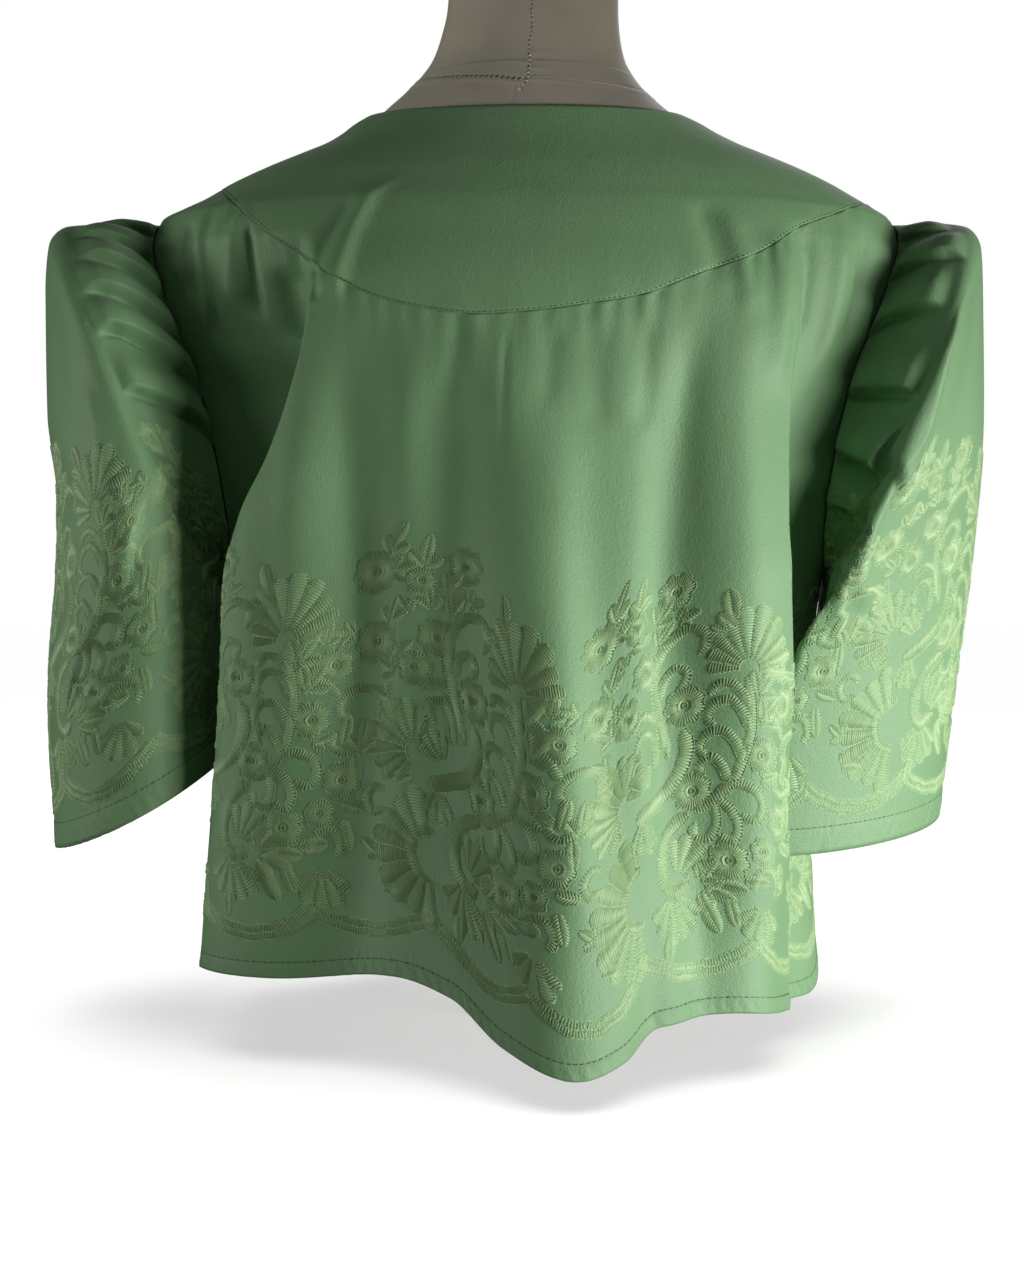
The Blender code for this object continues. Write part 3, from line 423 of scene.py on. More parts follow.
def pleat_relief(turn, way, side):
    """Knife pleats: each rises slowly from the one before, drops at once and dies out lower down."""
    relief = np.zeros(np.broadcast(turn, way).shape)
    start = 0.35 + 0.65 * ease(way / PLEAT_START)
    rows = pleats(side)
    for edge, _, reach, proud in rows:
        back = 1 if edge < 180 else -1
        past = back * (turn - edge + climb(np.array(edge), way, side))
        before = [
            abs(other - edge) for other, _, _, _ in rows
            if back * (edge - other) > 0 and (other < 180) == (edge < 180)
        ]
        room = min(before + [PLEAT_ROOM]) - PLEAT_STEP
        rise = ease((past + room) / (room - PLEAT_LIP)) * (1 - ease(past / PLEAT_STEP))
        fade = 1 - ease((way - reach + PLEAT_FADE) / PLEAT_FADE)
        groove = line_bump((past - PLEAT_STEP) / GROOVE_TURN)
        groove = groove * (1 - ease((way - reach + GROOVE_END) / GROOVE_FADE))
        relief = relief + start * (proud * rise * fade - PLEAT_GROOVE * groove)
    return relief


def outward(surface, across, along, across_step, along_step):
    """Unit normals of a surface given by two numbers."""
    one = surface(across + across_step, along) - surface(across - across_step, along)
    two = surface(across, along + along_step) - surface(across, along - along_step)
    return unit(np.cross(one, two))


def sleeve_point(turn, way, side):
    """A point of a sleeve's outer face."""
    def plain(a, b):
        return sleeve_base(a, b, side)

    normal = side * outward(plain, turn, np.clip(way, 0.004, 0.996), 0.5, 0.004)
    creased = crease_relief(SLEEVE_CREASES[side], turn, way, SLEEVE_SCALE, True)
    relief = pleat_relief(turn, way, side) + creased
    return plain(turn, way) + normal * relief[..., None]


# The pieces' outlines, in turn and height

DOMAIN = (0.0023, 1.0)        # metres for a degree of turn, and for a metre of height
FINE = 1200                   # points of a finely spaced line
SIDE_POINTS = 80              # points up a side seam, round an armhole and up a shoulder seam
ARMHOLE_POINTS = 121
STUB_POINTS = 21
HALF_GAP = 0.12               # turn from a seam to each of its two edges
FRONT_FADE = 1.15             # how soon the sides' shape dies out across a front


def coons(bottom, top, left, right, fade=3.0):
    """Fills a patch between four edge curves. The sides' shape dies out towards the middle."""
    across = np.linspace(0, 1, len(bottom))[None, :, None]
    along = np.linspace(0, 1, len(left))[:, None, None]
    ruled = bottom[None] * (1 - along) + top[None] * along
    from_left = left[:, None] - (left[0] * (1 - along) + left[-1] * along)
    from_right = right[:, None] - (right[0] * (1 - along) + right[-1] * along)
    return ruled + from_left * (1 - across) ** fade + from_right * across**fade


def respaced(points, count):
    """The same outline with its points evenly spaced in metres of cloth."""
    run = run_along(points * np.array(DOMAIN))
    return points_at(np.linspace(0, run[-1], count), run, points)


def seam_turn(height):
    """Where the side seam, and above the armhole the shoulder seam, lies."""
    return 90.0 - SHOULDER_BACK * ease((height - SHOULDER_TIP) / 0.02)


def side_edge(front, side, top):
    """One side of a panel: side seam, armhole, then the shoulder seam up to the given height."""
    gap = HALF_GAP if front else -HALF_GAP
    turns = np.linspace(180, 0, ARMHOLE_POINTS)
    body_turn, height = armhole(-turns if front else turns, side)
    body_turn = np.maximum(body_turn, 90 + gap) if front else np.minimum(body_turn, 90 + gap)
    hem = read(HEM, "height", np.array([90.0 * side]))[0]
    low = np.linspace(hem, UNDERARM, SIDE_POINTS)[:-1]
    points = [(90 + gap, z) for z in low] + list(zip(body_turn, height))
    if top > SHOULDER_TIP:
        stub = np.linspace(SHOULDER_TIP, top, STUB_POINTS)[1:]
        points += [(seam_turn(z) + gap, z) for z in stub]
    return np.array(points)


def shoulder_height(x):
    """The shoulder seam's height at a distance from the centre."""
    heights = np.linspace(SHOULDER_TIP, 0.512, 200)
    reach = read(BODY, "half_width", heights) * np.sin(np.radians(seam_turn(heights)))
    return np.interp(-x, -reach, heights)


def yoke_seam(count):
    """The yoke's curved seam, from the left shoulder seam to the right one, in turn and height."""
    knots, heights = YOKE_SEAM["x"], YOKE_SEAM["height"].copy()
    heights[0] = shoulder_height(abs(knots[0]))
    heights[-1] = shoulder_height(knots[-1])
    x = np.linspace(knots[0], knots[-1], count)
    height = smooth_curve(knots, heights, x)
    turn = np.degrees(np.arcsin(np.clip(x / read(BODY, "half_width", height), -1, 1)))
    limit = seam_turn(height) - HALF_GAP
    turn = np.clip(turn, -limit, limit)
    turn[0], turn[-1] = -limit[0], limit[-1]
    return joined(turn, height)


def hem_line(turns):
    """The hem's edge between the given turns."""
    return joined(turns, read(HEM, "height", turns))


def tuck_turns(height):
    """Turns of the lines that follow the two tucks: both ends and the middle of each drop."""
    steps = (0.0, TUCK_TURN / 2, TUCK_TURN)
    left, right = (read(TUCKS, "edge_" + hand, height) for hand in HANDS.values())
    return [left - step for step in steps[::-1]] + [right + step for step in steps]


def follow_tucks(rows, shares):
    """Picks points of each finely spaced row so that lines of the grid run along the tucks."""
    grid = []
    for row in rows:
        along = np.arange(len(row), dtype=float)
        knots = [0.0]
        for tuck in tuck_turns(row[:, 1]):
            knots.append(float(np.interp(0.0, row[:, 0] - tuck, along)))
        knots.append(along[-1])
        at = [knots[0]]
        for start, stop, share in zip(knots, knots[1:], shares):
            at += list(np.linspace(start, stop, share + 1)[1:])
        grid.append(points_at(at, along, row))
    return np.array(grid)


def row_places(count, points, low_pull, high_pull):
    """Places of a grid's rows, closer together at the low edge and at the high one."""
    t = np.linspace(0, 1, count)
    eased = t + low_pull * (t * t - t) * (1 - t) + high_pull * (t - t * t) * t
    return eased * (points - 1)


def back_domain(rows, shares):
    """The back panel in turn and height. Shares are its columns beside and between the tucks."""
    seam = yoke_seam(FINE)
    left = side_edge(False, -1, seam[0, 1]) * (-1, 1)
    right = side_edge(False, 1, seam[-1, 1])
    at = row_places(rows, len(left), 0.55, 0.25)
    bottom = hem_line(np.linspace(left[0, 0], right[0, 0], FINE))
    grid = coons(respaced(bottom, FINE), respaced(seam, FINE), left, right)
    return follow_tucks(picked(grid, at), shares)


def yoke_domain(seam, rows):
    """The back yoke in turn and height, from its seam's points."""
    end = seam_turn(NECK_POINT) - HALF_GAP
    turn = np.interp(seam[:, 0], (seam[0, 0], seam[-1, 0]), (-end, end))
    neck = joined(turn, NECK_POINT - NECK_DIP * np.cos(np.radians(turn * 90 / end)))
    edges = []
    for side, corner in ((-1, seam[0, 1]), (1, seam[-1, 1])):
        height = np.linspace(corner, NECK_POINT, rows)
        edges.append(joined(side * (seam_turn(height) - HALF_GAP), height))
    return coons(seam, neck, *edges)


def front_domain(side, rows, columns):
    """One front in turn and height, from its side seam to its front edge."""
    seam = side_edge(True, side, SHOULDER_TIP)
    shoulder = np.linspace(SHOULDER_TIP, NECK_POINT, columns)
    top = joined(seam_turn(shoulder) + HALF_GAP, shoulder)
    heights = np.linspace(FRONT_EDGE["height"][0], FRONT_EDGE["height"][-1], FINE)
    x = read(FRONT_EDGE, "from_centre", heights)
    turn = 180.0 - np.degrees(np.arcsin(np.clip(x / read(BODY, "half_width", heights), -1, 1)))
    edge = np.concatenate((joined(turn, heights), [top[-1]]))
    bottom = hem_line(side * np.linspace(seam[0, 0], edge[0, 0], FINE)) * (side, 1)
    edge[0] = bottom[-1]
    at = row_places(rows, len(seam), 0.5, 0.0)
    grid = coons(respaced(bottom, columns), top, seam, respaced(edge, len(seam)), FRONT_FADE)
    return (side, 1) * picked(grid, at)


# A piece of cloth, and where each of its points lies flat

LATTICE_STEP = 0.0015         # between the points of the flat cloth that are kept


def fill_rows(values, places, at):
    """Reads each column of a grid at new places, given the place of each of its points."""
    result = np.empty((len(at), values.shape[1], values.shape[2]))
    for column in range(values.shape[1]):
        for axis in range(values.shape[2]):
            result[:, column, axis] = np.interp(at, places[:, column], values[:, column, axis])
    return result


class Cloth:
    """One piece: rows of outer points up from its lower edge, and where each of them lies flat.

    Middle is the column where u is 0. Side is -1 if the columns run from right to left, seen from
    outside. A tube's columns go all round. Reach is how far up from the edge it is laid flat.
    """

    def __init__(self, outer, middle, side=1, tube=False, reach=0.24):
        self.outer = outer
        self.side = side
        self.tube = tube
        self.middle = middle
        self.reach = reach
        self.measure()

    def closed(self, grid):
        """The same grid, with its first column again at its end if the piece is a tube."""
        return np.concatenate((grid, grid[:, :1]), axis=1) if self.tube else grid

    def run_across(self, grid):
        """How far each point of a grid lies along its row from the middle column."""
        run = run_along(np.swapaxes(grid, 0, 1)).T
        return run - run[:, self.middle:self.middle + 1]

    def measure(self):
        """Finds the normals and each point's place on the flat cloth."""
        if self.tube:
            across = np.roll(self.outer, -1, axis=1) - np.roll(self.outer, 1, axis=1)
        else:
            across = np.gradient(self.outer, axis=1)
        self.normals = self.side * unit(np.cross(across, np.gradient(self.outer, axis=0)))
        self.up = run_along(self.outer)
        self.along = self.run_across(self.closed(self.outer))

    def lift(self, relief):
        """Moves the outer points out by a relief given for each of them."""
        self.outer = self.outer + self.normals * relief[..., None]
        self.measure()

    def lay_flat(self):
        """Makes the lattice that maps the flat cloth's u and v to space."""
        both = self.closed(np.concatenate((self.outer, self.normals), axis=-1))
        self.v = np.arange(0, self.reach, LATTICE_STEP)
        levels = fill_rows(both, self.closed(self.up), self.v)
        run = self.run_across(levels[..., :3])
        self.low, self.high = run[:, 0], run[:, -1]
        self.u = np.arange(self.low.min(), self.high.max() + LATTICE_STEP, LATTICE_STEP)
        self.lattice = np.empty((len(self.v), len(self.u), 6))
        for k in range(len(self.v)):
            for axis in range(6):
                self.lattice[k, :, axis] = np.interp(self.u, run[k], levels[k, :, axis])

    def inside(self, u, v, margin):
        """Whether points of the flat cloth lie on this piece, a margin in from its sides."""
        low = np.interp(v, self.v, self.low)
        high = np.interp(v, self.v, self.high)
        return (u > low + margin) & (u < high - margin) & (v > 0) & (v < self.v[-1])

    def place(self, u, v, height):
        """Points in space from the flat cloth's u and v and a height above it."""
        a = np.clip((u - self.u[0]) / LATTICE_STEP, 0, len(self.u) - 1.001)
        b = np.clip(v / LATTICE_STEP, 0, len(self.v) - 1.001)
        i, j = a.astype(int), b.astype(int)
        p, q = (a - i)[..., None], (b - j)[..., None]
        grid = self.lattice
        both = (
            grid[j, i] * (1 - p) * (1 - q) + grid[j, i + 1] * p * (1 - q)
            + grid[j + 1, i] * (1 - p) * q + grid[j + 1, i + 1] * p * q
        )
        return both[..., :3] + unit(both[..., 3:]) * height[..., None]


# Meshes

def add_object(name, data):
    """Adds one object to the scene."""
    obj = bpy.data.objects.new(name, data)
    bpy.context.scene.collection.objects.link(obj)
    return obj


def add_mesh(name, points, faces, material):
    """Adds one smooth mesh object."""
    mesh = bpy.data.meshes.new(name)
    mesh.from_pydata(points.reshape(-1, 3).tolist(), [], faces)
    mesh.shade_smooth()
    mesh.materials.append(material)
    return add_object(name, mesh)


def grid_faces(ids):
    """The faces of a grid, from the numbers of its points."""
    return joined(ids[:-1, :-1], ids[:-1, 1:], ids[1:, 1:], ids[1:, :-1]).reshape(-1, 4)


def rim(outer, inner):
    """Triangles between an outer edge and an inner one that has every second point of it."""
    a, b, c = outer[:-2:2], outer[1::2], outer[2::2]
    d, e = inner[:-1], inner[1:]
    return joined(b, a, d, b, d, e, c, b, e).reshape(-1, 3)


def cloth_shell(name, cloth, material):
    """A closed shell: the fine outer grid, every second point of it moved in, and the rims."""
    inner_points = (cloth.outer - cloth.normals * SHELL)[::2, ::2]
    count = cloth.outer[..., 0].size
    outer = cloth.closed(np.arange(count).reshape(cloth.outer.shape[:2]))
    inner = cloth.closed(count + np.arange(inner_points[..., 0].size).reshape(inner_points.shape[:2]))
    rims = [rim(outer[0], inner[0]), rim(outer[-1, ::-1], inner[-1, ::-1])]
    if not cloth.tube:
        rims += [rim(outer[::-1, 0], inner[::-1, 0]), rim(outer[:, -1], inner[:, -1])]
    walls = (grid_faces(outer), grid_faces(inner)[:, ::-1])
    faces = []
    for group in (*walls, *rims):
        faces += group[:, ::cloth.side].tolist()
    points = np.concatenate((cloth.outer.reshape(-1, 3), inner_points.reshape(-1, 3)))
    return add_mesh(name, points, faces, material)


# Stitches: rows of u and v of both ends, width and height, in metres of flat cloth

STITCH_SUNK = -0.00012        # how far a stitch's sides and ends sink into the cloth
STITCH_INSET = 0.0004         # from a stitch's end to where it is highest
STITCH_FACES = ((0, 1, 4), (0, 4, 3), (1, 2, 5), (1, 5, 4), (0, 2, 1), (3, 4, 5))


def roof_corners(a, b, across, inset):
    """The foot, ridge and foot at both ends of roofs that run from points a to points b."""
    return a + across, a + inset, a - across, b + across, b - inset, b - across


def add_roofs(name, corners, material, side=1):
    """One mesh of low rounded roofs, from the points of their six corners."""
    faces = np.array(STITCH_FACES)[:, ::side]
    faces = (faces[None] + 6 * np.arange(len(corners[0]))[:, None, None]).reshape(-1, 3)
    return add_mesh(name, np.stack(corners, axis=1), faces.tolist(), material)


def stitch_mesh(name, cloth, stitches, material, margin=0.002):
    """One mesh of raised stitches that are sunk into the cloth."""
    keep = cloth.inside(stitches[:, 0], stitches[:, 1], margin)
    keep &= cloth.inside(stitches[:, 2], stitches[:, 3], margin)
    a, b = stitches[keep, 0:2], stitches[keep, 2:4]
    width, height = stitches[keep, 4], stitches[keep, 5]
    run = b - a
    long = np.linalg.norm(run, axis=1, keepdims=True)
    across = unit(left_of(run)) * width[:, None] / 2
    inset = run / np.maximum(long, 1e-9) * np.minimum(STITCH_INSET, long * 0.3)
    sunk = np.full(len(a), STITCH_SUNK)
    corners = zip(roof_corners(a, b, across, inset), (sunk, height, sunk) * 2)
    return add_roofs(name, [cloth.place(*p.T, h) for p, h in corners], material, cloth.side)


# Embroidery, in millimetres on the flat cloth. Angles are clockwise from straight up.

PITCH = 1.45                  # between satin stitches
THREAD = 1.05                 # width of a satin stitch
RIDGE = 0.75                  # height of a satin stitch
OUTLINE = 0.55                # width of a running stitch
OUTLINE_RIDGE = 0.65          # height of a running stitch
UNEVEN = 0.25                 # how far a satin stitch's ends stray
rng = np.random.default_rng(7)


def heading(angle):
    """The direction of an angle."""
    a = math.radians(angle)
    return np.array((math.sin(a), math.cos(a)))


def respace(line, step=0.3):
    """A line with evenly spaced points."""
    run = run_along(line)
    return points_at(np.arange(0, run[-1], step), run, line)


def line_through(points, step=0.4):
    """A smooth line through points, as evenly spaced points with their directions."""
    points = np.asarray(points, float)
    ends = np.concatenate(([2 * points[0] - points[1]], points, [2 * points[-1] - points[-2]]))
    line = []
    for k in range(1, len(ends) - 2):
        p0, p1, p2, p3 = ends[k - 1:k + 3]
        for t in np.linspace(0, 1, 24, endpoint=False):
            line.append(0.5 * (
                2 * p1 + (p2 - p0) * t + (2 * p0 - 5 * p1 + 4 * p2 - p3) * t**2
                + (3 * p1 - p0 - 3 * p2 + p3) * t**3
            ))
    even = respace(np.array(line + [points[-1]]), step)
    return even, unit(np.gradient(even, axis=0))


def rungs(line, direction, width, lean=0.0, height=RIDGE):
    """Satin stitches across a line. Width is given for each share of the line from 0 to 1."""
    step = np.linalg.norm(line[1] - line[0])
    at = np.arange(PITCH / 2, len(line) * step, PITCH) / step
    centre, along = picked(line, at), picked(direction, at)
    wide = width(at / len(line))[:, None]
    across = left_of(along)
    loose = rng.uniform(-UNEVEN, UNEVEN, (len(at), 2))
    start = centre - across * (wide / 2 + loose[:, :1]) - along * lean * wide / 2
    stop = centre + across * (wide / 2 + loose[:, 1:]) + along * lean * wide / 2
    thick = np.full((len(at), 1), THREAD)
    high = height * (1 + rng.uniform(-0.2, 0.2, (len(at), 1)))
    return np.concatenate((start, stop, thick, high), axis=1)


def running(line, length=2.4, height=OUTLINE_RIDGE, wide=OUTLINE):
    """One thread that runs along a line, as stitches end to end."""
    step = np.linalg.norm(line[1] - line[0])
    at = np.arange(0, len(line) * step, length) / step
    ends = picked(line, np.clip(at, 0, len(line) - 1.001))
    start, stop = ends[:-1], ends[1:]
    slack = (stop - start) * 0.10
    rest = np.broadcast_to((wide, height), (len(start), 2))
    return np.concatenate((start - slack, stop + slack, rest), axis=1)


def band(start_width, end_width, points):
    """A scroll: a band of satin stitches along a line, with a thread along one edge."""
    line, direction = line_through(points)

    def width(t):
        ends = ease(t / 0.08) * ease((1 - t) / 0.06)
        return (start_width + (end_width - start_width) * t) * (0.35 + 0.65 * ends)

    half = width(np.linspace(0, 1, len(line)))[:, None] / 2
    edge = line + left_of(direction) * (half + 0.25)
    return [rungs(line, direction, width, 0.12), running(edge)]


def petal(base, angle, near, far, opening):
    """A wedge petal of a shell, rounded at its tip, with stitches across it and a thread round it."""
    base = np.array(base, float)
    out, side = heading(angle), heading(angle + 90)
    reach = np.arange(near, far, 0.4)
    round_off = np.sqrt(np.clip(1 - ((reach - far * 0.80) / (far * 0.205)).clip(0, 1) ** 2, 0.03, 1))
    half = reach * math.tan(math.radians(opening / 2)) * round_off
    line = base + reach[:, None] * out
    direction = np.broadcast_to(out, line.shape)

    def width(share):
        return 2 * np.interp(share, np.linspace(0, 1, len(half)), half) * 0.96

    rim_line = np.concatenate((line + side * half[:, None], (line - side * half[:, None])[::-1]))
    return [rungs(line, direction, width, 0.10 * opening / 20.0), running(respace(rim_line))]


def fan(u, v, first, last, petals, near, lengths):
    """A shell: touching petals fanned out from one point, from the first angle to the last."""
    made = []
    opening = abs(last - first) / (petals - 1)
    for k in range(petals):
        t = k / (petals - 1)
        far = float(smooth_curve((0.0, 0.5, 1.0), lengths, np.array(t)))
        far *= 1 + 0.05 * math.sin(2.3 * k + u)
        made += petal((u, v), first + (last - first) * t, near, far, opening)
    return made


def leaf(u, v, angle, length, width):
    """A pointed leaf: two rows of slanting stitches that meet at its vein."""
    base = np.array((u, v), float)
    count = max(int(length / 1.5), 3)
    rows = []
    for hand in (-1, 1):
        for k in range(count):
            t = (k + 0.5) / count
            start = base + heading(angle) * length * t
            reach = width / 2 * math.sin(math.pi * min(t * 0.86 + 0.14, 1.0)) ** 0.7 + 0.5
            stop = start + heading(angle + hand * 52) * reach * 1.25
            rows.append((*start, *stop, THREAD, RIDGE))
    return [np.array(rows)]


def sprig(u, v, angle, size):
    """A short stem with three leaves at its tip."""
    made = []
    for turn, share in ((-48, 0.62), (0, 1.0), (50, 0.62)):
        made += leaf(u, v, angle + turn, size * share, size * 0.36)
    return made


def flower(u, v, radius, petals):
    """A round flower: stitches from its eye to a scalloped rim, and threads on both edges."""
    centre = np.array((u, v), float)
    count = int(2 * math.pi * radius / 1.75)
    rows = []
    for turn in np.linspace(0, 360, count, endpoint=False) + rng.uniform(0, 60):
        edge = radius * (0.76 + 0.24 * abs(math.sin(math.radians(turn * petals / 2))) ** 0.7)
        way = heading(turn)
        rows.append((*(centre + way * radius * 0.22), *(centre + way * edge), 0.95, RIDGE * 0.8))
    turns = np.linspace(0, 360, 160)
    waves = radius * (0.80 + 0.26 * np.abs(np.sin(np.radians(turns * petals / 2))) ** 0.7)
    ways = np.array([heading(turn) for turn in turns])
    return [
        np.array(rows),
        running(respace(centre + ways * waves[:, None]), length=2.0),
        running(respace(centre + ways * radius * 0.36), length=1.5, height=1.0, wide=0.8),
        running(respace(centre + ways * radius * 0.14), length=1.0, height=0.8),
    ]


# One repeat of the border: places in millimetres from its left end and from the hem
REPEAT = 138.0
FANS = (  # u, v, first angle, last angle, petals, inner radius, three outer radii
    (102, 172, -92, 84, 10, 5, (20, 34, 24)), (37, 113, -145, 8, 9, 5, (20, 31, 24)),
    (46, 62, -172, -16, 9, 11, (33, 35, 34)), (73, 66, -4, 62, 4, 5, (22, 24, 20)),
    (69, 62, 128, 232, 6, 5, (20, 25, 20)), (54, 111, -68, -6, 4, 4, (16, 18, 16)),
    (51, 101, 148, 212, 4, 3, (15, 19, 15)), (119, 56, 142, 236, 5, 4, (18, 23, 18)),
    (12, 128, 40, 150, 5, 4, (12, 15, 12)),
)
FLOWERS = (  # u, v, radius, petals
    (57, 212, 9.5, 7), (34, 199, 7.5, 6), (8, 203, 12, 9), (46, 173, 9.5, 8), (12, 167, 11, 9),
    (35, 155, 9, 7), (72, 153, 10.5, 9), (128, 157, 9.5, 8), (82, 110, 10, 9), (101, 76, 10.5, 9),
    (116, 130, 9.5, 8), (132, 98, 9.5, 8), (120, 82, 7.5, 7),
)
SPRIGS = (  # u, v, angle, size
    (15, 213, 20, 17), (18, 203, 72, 13), (34, 206, 2, 17), (49, 197, 28, 15), (41, 186, -18, 13),
    (52, 186, 30, 13), (19, 177, 14, 14), (-1, 172, -84, 13), (24, 152, -58, 13), (26, 160, 40, 11),
    (108, 160, 32, 19), (113, 146, 36, 19), (116, 118, 70, 12), (122, 168, 10, 13), (88, 62, 112, 17),
    (86, 66, 40, 13), (4, 112, 8, 17), (22, 138, -64, 14), (14, 60, -50, 12), (30, 182, -40, 11),
    (62, 196, 62, 11), (88, 190, -76, 9),
)
LEAVES = (  # u, v, angle, length, width
    (90, 195, -20, 17, 8.5), (92, 192, -58, 12, 7), (85, 60, 156, 22, 8.5), (92, 64, 98, 18, 7),
    (108, 66, 88, 15, 7), (2, 96, -6, 15, 6.5), (6, 82, -70, 13, 6), (64, 44, 192, 14, 6.5),
    (100, 58, 168, 15, 6.5), (26, 96, 60, 10, 5), (132, 116, 12, 15, 6), (132, 78, 170, 16, 6.5),
    (109, 170, 62, 12, 6), (14, 44, 96, 13, 5.5),
)
BANDS = (  # first width, last width, points
    (4.8, 5.8, ((101, 168), (105, 156), (107, 141), (105, 127), (102, 116), (94, 107), (84, 100))),
    (4.4, 4.6, ((104, 153), (101, 159), (94, 164), (87, 163), (84, 158))),
    (4.8, 4.6, ((106, 142), (102, 150), (95, 156), (87, 154), (84, 147), (88, 143))),
    (5, 4.6, ((105, 126), (101, 134), (94, 140), (86, 139), (82, 132), (86, 127))),
    (5, 4.6, ((100, 115), (95, 123), (89, 127), (84, 122), (87, 117))),
    (5.6, 5, ((67, 128), (62, 140), (57, 152), (53, 166), (54, 178), (61, 188), (70, 192),
        (78, 187), (76, 179))),
    (4.8, 4.6, ((58, 158), (59, 166), (65, 172), (71, 169), (69, 162))),
    (5, 4.6, ((63, 132), (60, 143), (54, 150), (46, 151), (40, 145))),
    (5, 4.6, ((59, 124), (58, 135), (53, 142), (46, 141), (43, 134), (47, 130))),
    (7.4, 8.6, ((73, 141), (76, 129), (71, 115), (59, 106), (46, 100))),
    (6.6, 7.2, ((81, 99), (70, 92), (63, 80), (63, 68), (71, 61), (80, 65))),
    (5.6, 5, ((94, 108), (104, 114), (115, 111), (119, 104), (115, 97), (108, 99))),
    (5, 4.6, ((95, 106), (102, 101), (106, 93), (103, 86), (96, 88))),
    (5, 4.6, ((93, 105), (95, 95), (91, 87), (84, 88), (84, 94))),
    (5.2, 4.8, ((48, 78), (38, 74), (34, 64), (38, 54), (48, 50))),
    (4.6, 4.4, ((19, 91), (12, 94), (7, 88), (11, 81), (18, 83))),
    (4.8, 4.6, ((113, 62), (118, 71), (126, 72), (130, 65), (127, 59))),
    (5, 4.8, ((24, 128), (16, 140), (4, 144), (-6, 140), (-8, 132), (-2, 128))),
    (4.8, 4.6, ((10, 128), (6, 118), (-4, 112), (-12, 116), (-10, 123))),
    (4.6, 4.6, ((130, 140), (124, 148), (116, 150), (112, 144))),
)


def repeat_stitches():
    """All stitches of one repeat, in millimetres."""
    made = []
    for motif, rows in ((fan, FANS), (flower, FLOWERS), (sprig, SPRIGS), (leaf, LEAVES), (band, BANDS)):
        for row in rows:
            made += motif(*row)
    return np.concatenate(made)


# The scallop band below the border
BAND_LOW = 0.022
BAND_HIGH = 0.036
BAND_REPEAT = 0.070
BAND_HALF = 1.95              # millimetres from the band's middle to each row of stitches


def scallop_middle(along):
    """How high the scallop band's middle lies above the hem, by its place in repeats."""
    dip = np.abs(np.sin(math.pi * along)) ** 0.7
    lobes = 0.0011 * (1 - np.abs(np.sin(math.pi * along * 5)) ** 0.8) * dip
    return BAND_HIGH + (BAND_LOW - BAND_HIGH) * dip + lobes


def scallop_stitches(low, high, repeat, start):
    """Two rows of ladder stitches with a thread between them, between two places on the hem."""
    u = np.arange(low, high, 0.0005)
    line = joined(u, scallop_middle((u - low) / repeat + start)) * 1000
    line = respace(line, 0.4)
    direction = unit(np.gradient(line, axis=0))
    across = left_of(direction) * BAND_HALF
    made = [running(line, height=0.6), running(line + across * 2), running(line - across * 2)]
    for side in HANDS:
        made.append(rungs(line + across * side, direction, lambda t: 3.5 + 0 * t, height=0.55))
    return np.concatenate(made)


def border(cloth, first, scallop_start, repeat=BAND_REPEAT):
    """The whole border of one piece, in metres. First is where a repeat starts, read to the right."""
    tile = repeat_stitches()
    low, high = float(cloth.low[0]), float(cloth.high[0])
    left, right = sorted((cloth.side * low * 1000, cloth.side * high * 1000))
    start = first - math.ceil((first - left) / REPEAT + 1) * REPEAT
    made = []
    while start < right + REPEAT:
        made.append((tile + (start, 0, start, 0, 0, 0)) * (cloth.side, 1, cloth.side, 1, 1, 1))
        start += REPEAT
    made.append(scallop_stitches(low, high, repeat, scallop_start))
    return np.concatenate(made) / 1000.0


def topstitch(cloth, level, length=0.0026, gap=0.0007):
    """A row of machine stitches at a level above the piece's lower edge, in metres."""
    start = np.arange(cloth.low[0], cloth.high[0], length + gap)
    v = np.full(len(start), level)
    rest = np.broadcast_to((0.0008, 0.0003), (len(start), 2))
    return np.concatenate((joined(start, v, start + length, v), rest), axis=1)


# Materials

EVEN = (1.0, 1.0, 1.0)


def noise(nodes, links, scale, detail, stretch):
    """A noise texture in metres of the object."""
    place = nodes.new("ShaderNodeTexCoord")
    mapping = nodes.new("ShaderNodeMapping")
    mapping.inputs["Scale"].default_value = stretch
    texture = nodes.new("ShaderNodeTexNoise")
    texture.inputs["Scale"].default_value = scale
    texture.inputs["Detail"].default_value = detail
    links.new(place.outputs["Object"], mapping.inputs["Vector"])
    links.new(mapping.outputs["Vector"], texture.inputs["Vector"])
    return texture.outputs["Fac"]


def make_look(name, colour, roughness, sheen, dye=None, bumps=()):
    """A cloth-like surface. A dye is a noise's scale and detail and the two colours it mixes.

    Each bump lies on the one before: a noise's scale, detail and stretch, its strength and height.
    """
    made = bpy.data.materials.new(name)
    made.use_nodes = True
    nodes, links = made.node_tree.nodes, made.node_tree.links
    shader = nodes["Principled BSDF"]
    shader.inputs["Base Color"].default_value = (*colour, 1.0)
    shader.inputs["Roughness"].default_value = roughness
    shader.inputs["Sheen Weight"].default_value = sheen
    shader.inputs["Sheen Roughness"].default_value = 0.4
    if dye:
        scale, detail, *tints = dye
        mix = nodes.new("ShaderNodeValToRGB")
        for end, position, tint in zip(mix.color_ramp.elements, (0.35, 0.65), tints):
            end.position = position
            end.color = (*tint, 1.0)
        links.new(noise(nodes, links, scale, detail, EVEN), mix.inputs["Fac"])
        links.new(mix.outputs["Color"], shader.inputs["Base Color"])
    surface = shader.inputs["Normal"]
    for scale, detail, stretch, strength, height in reversed(bumps):
        node = nodes.new("ShaderNodeBump")
        node.inputs["Strength"].default_value = strength
        node.inputs["Distance"].default_value = height
        links.new(noise(nodes, links, scale, detail, stretch), node.inputs["Height"])
        links.new(node.outputs["Normal"], surface)
        surface = node.inputs["Normal"]
    return made


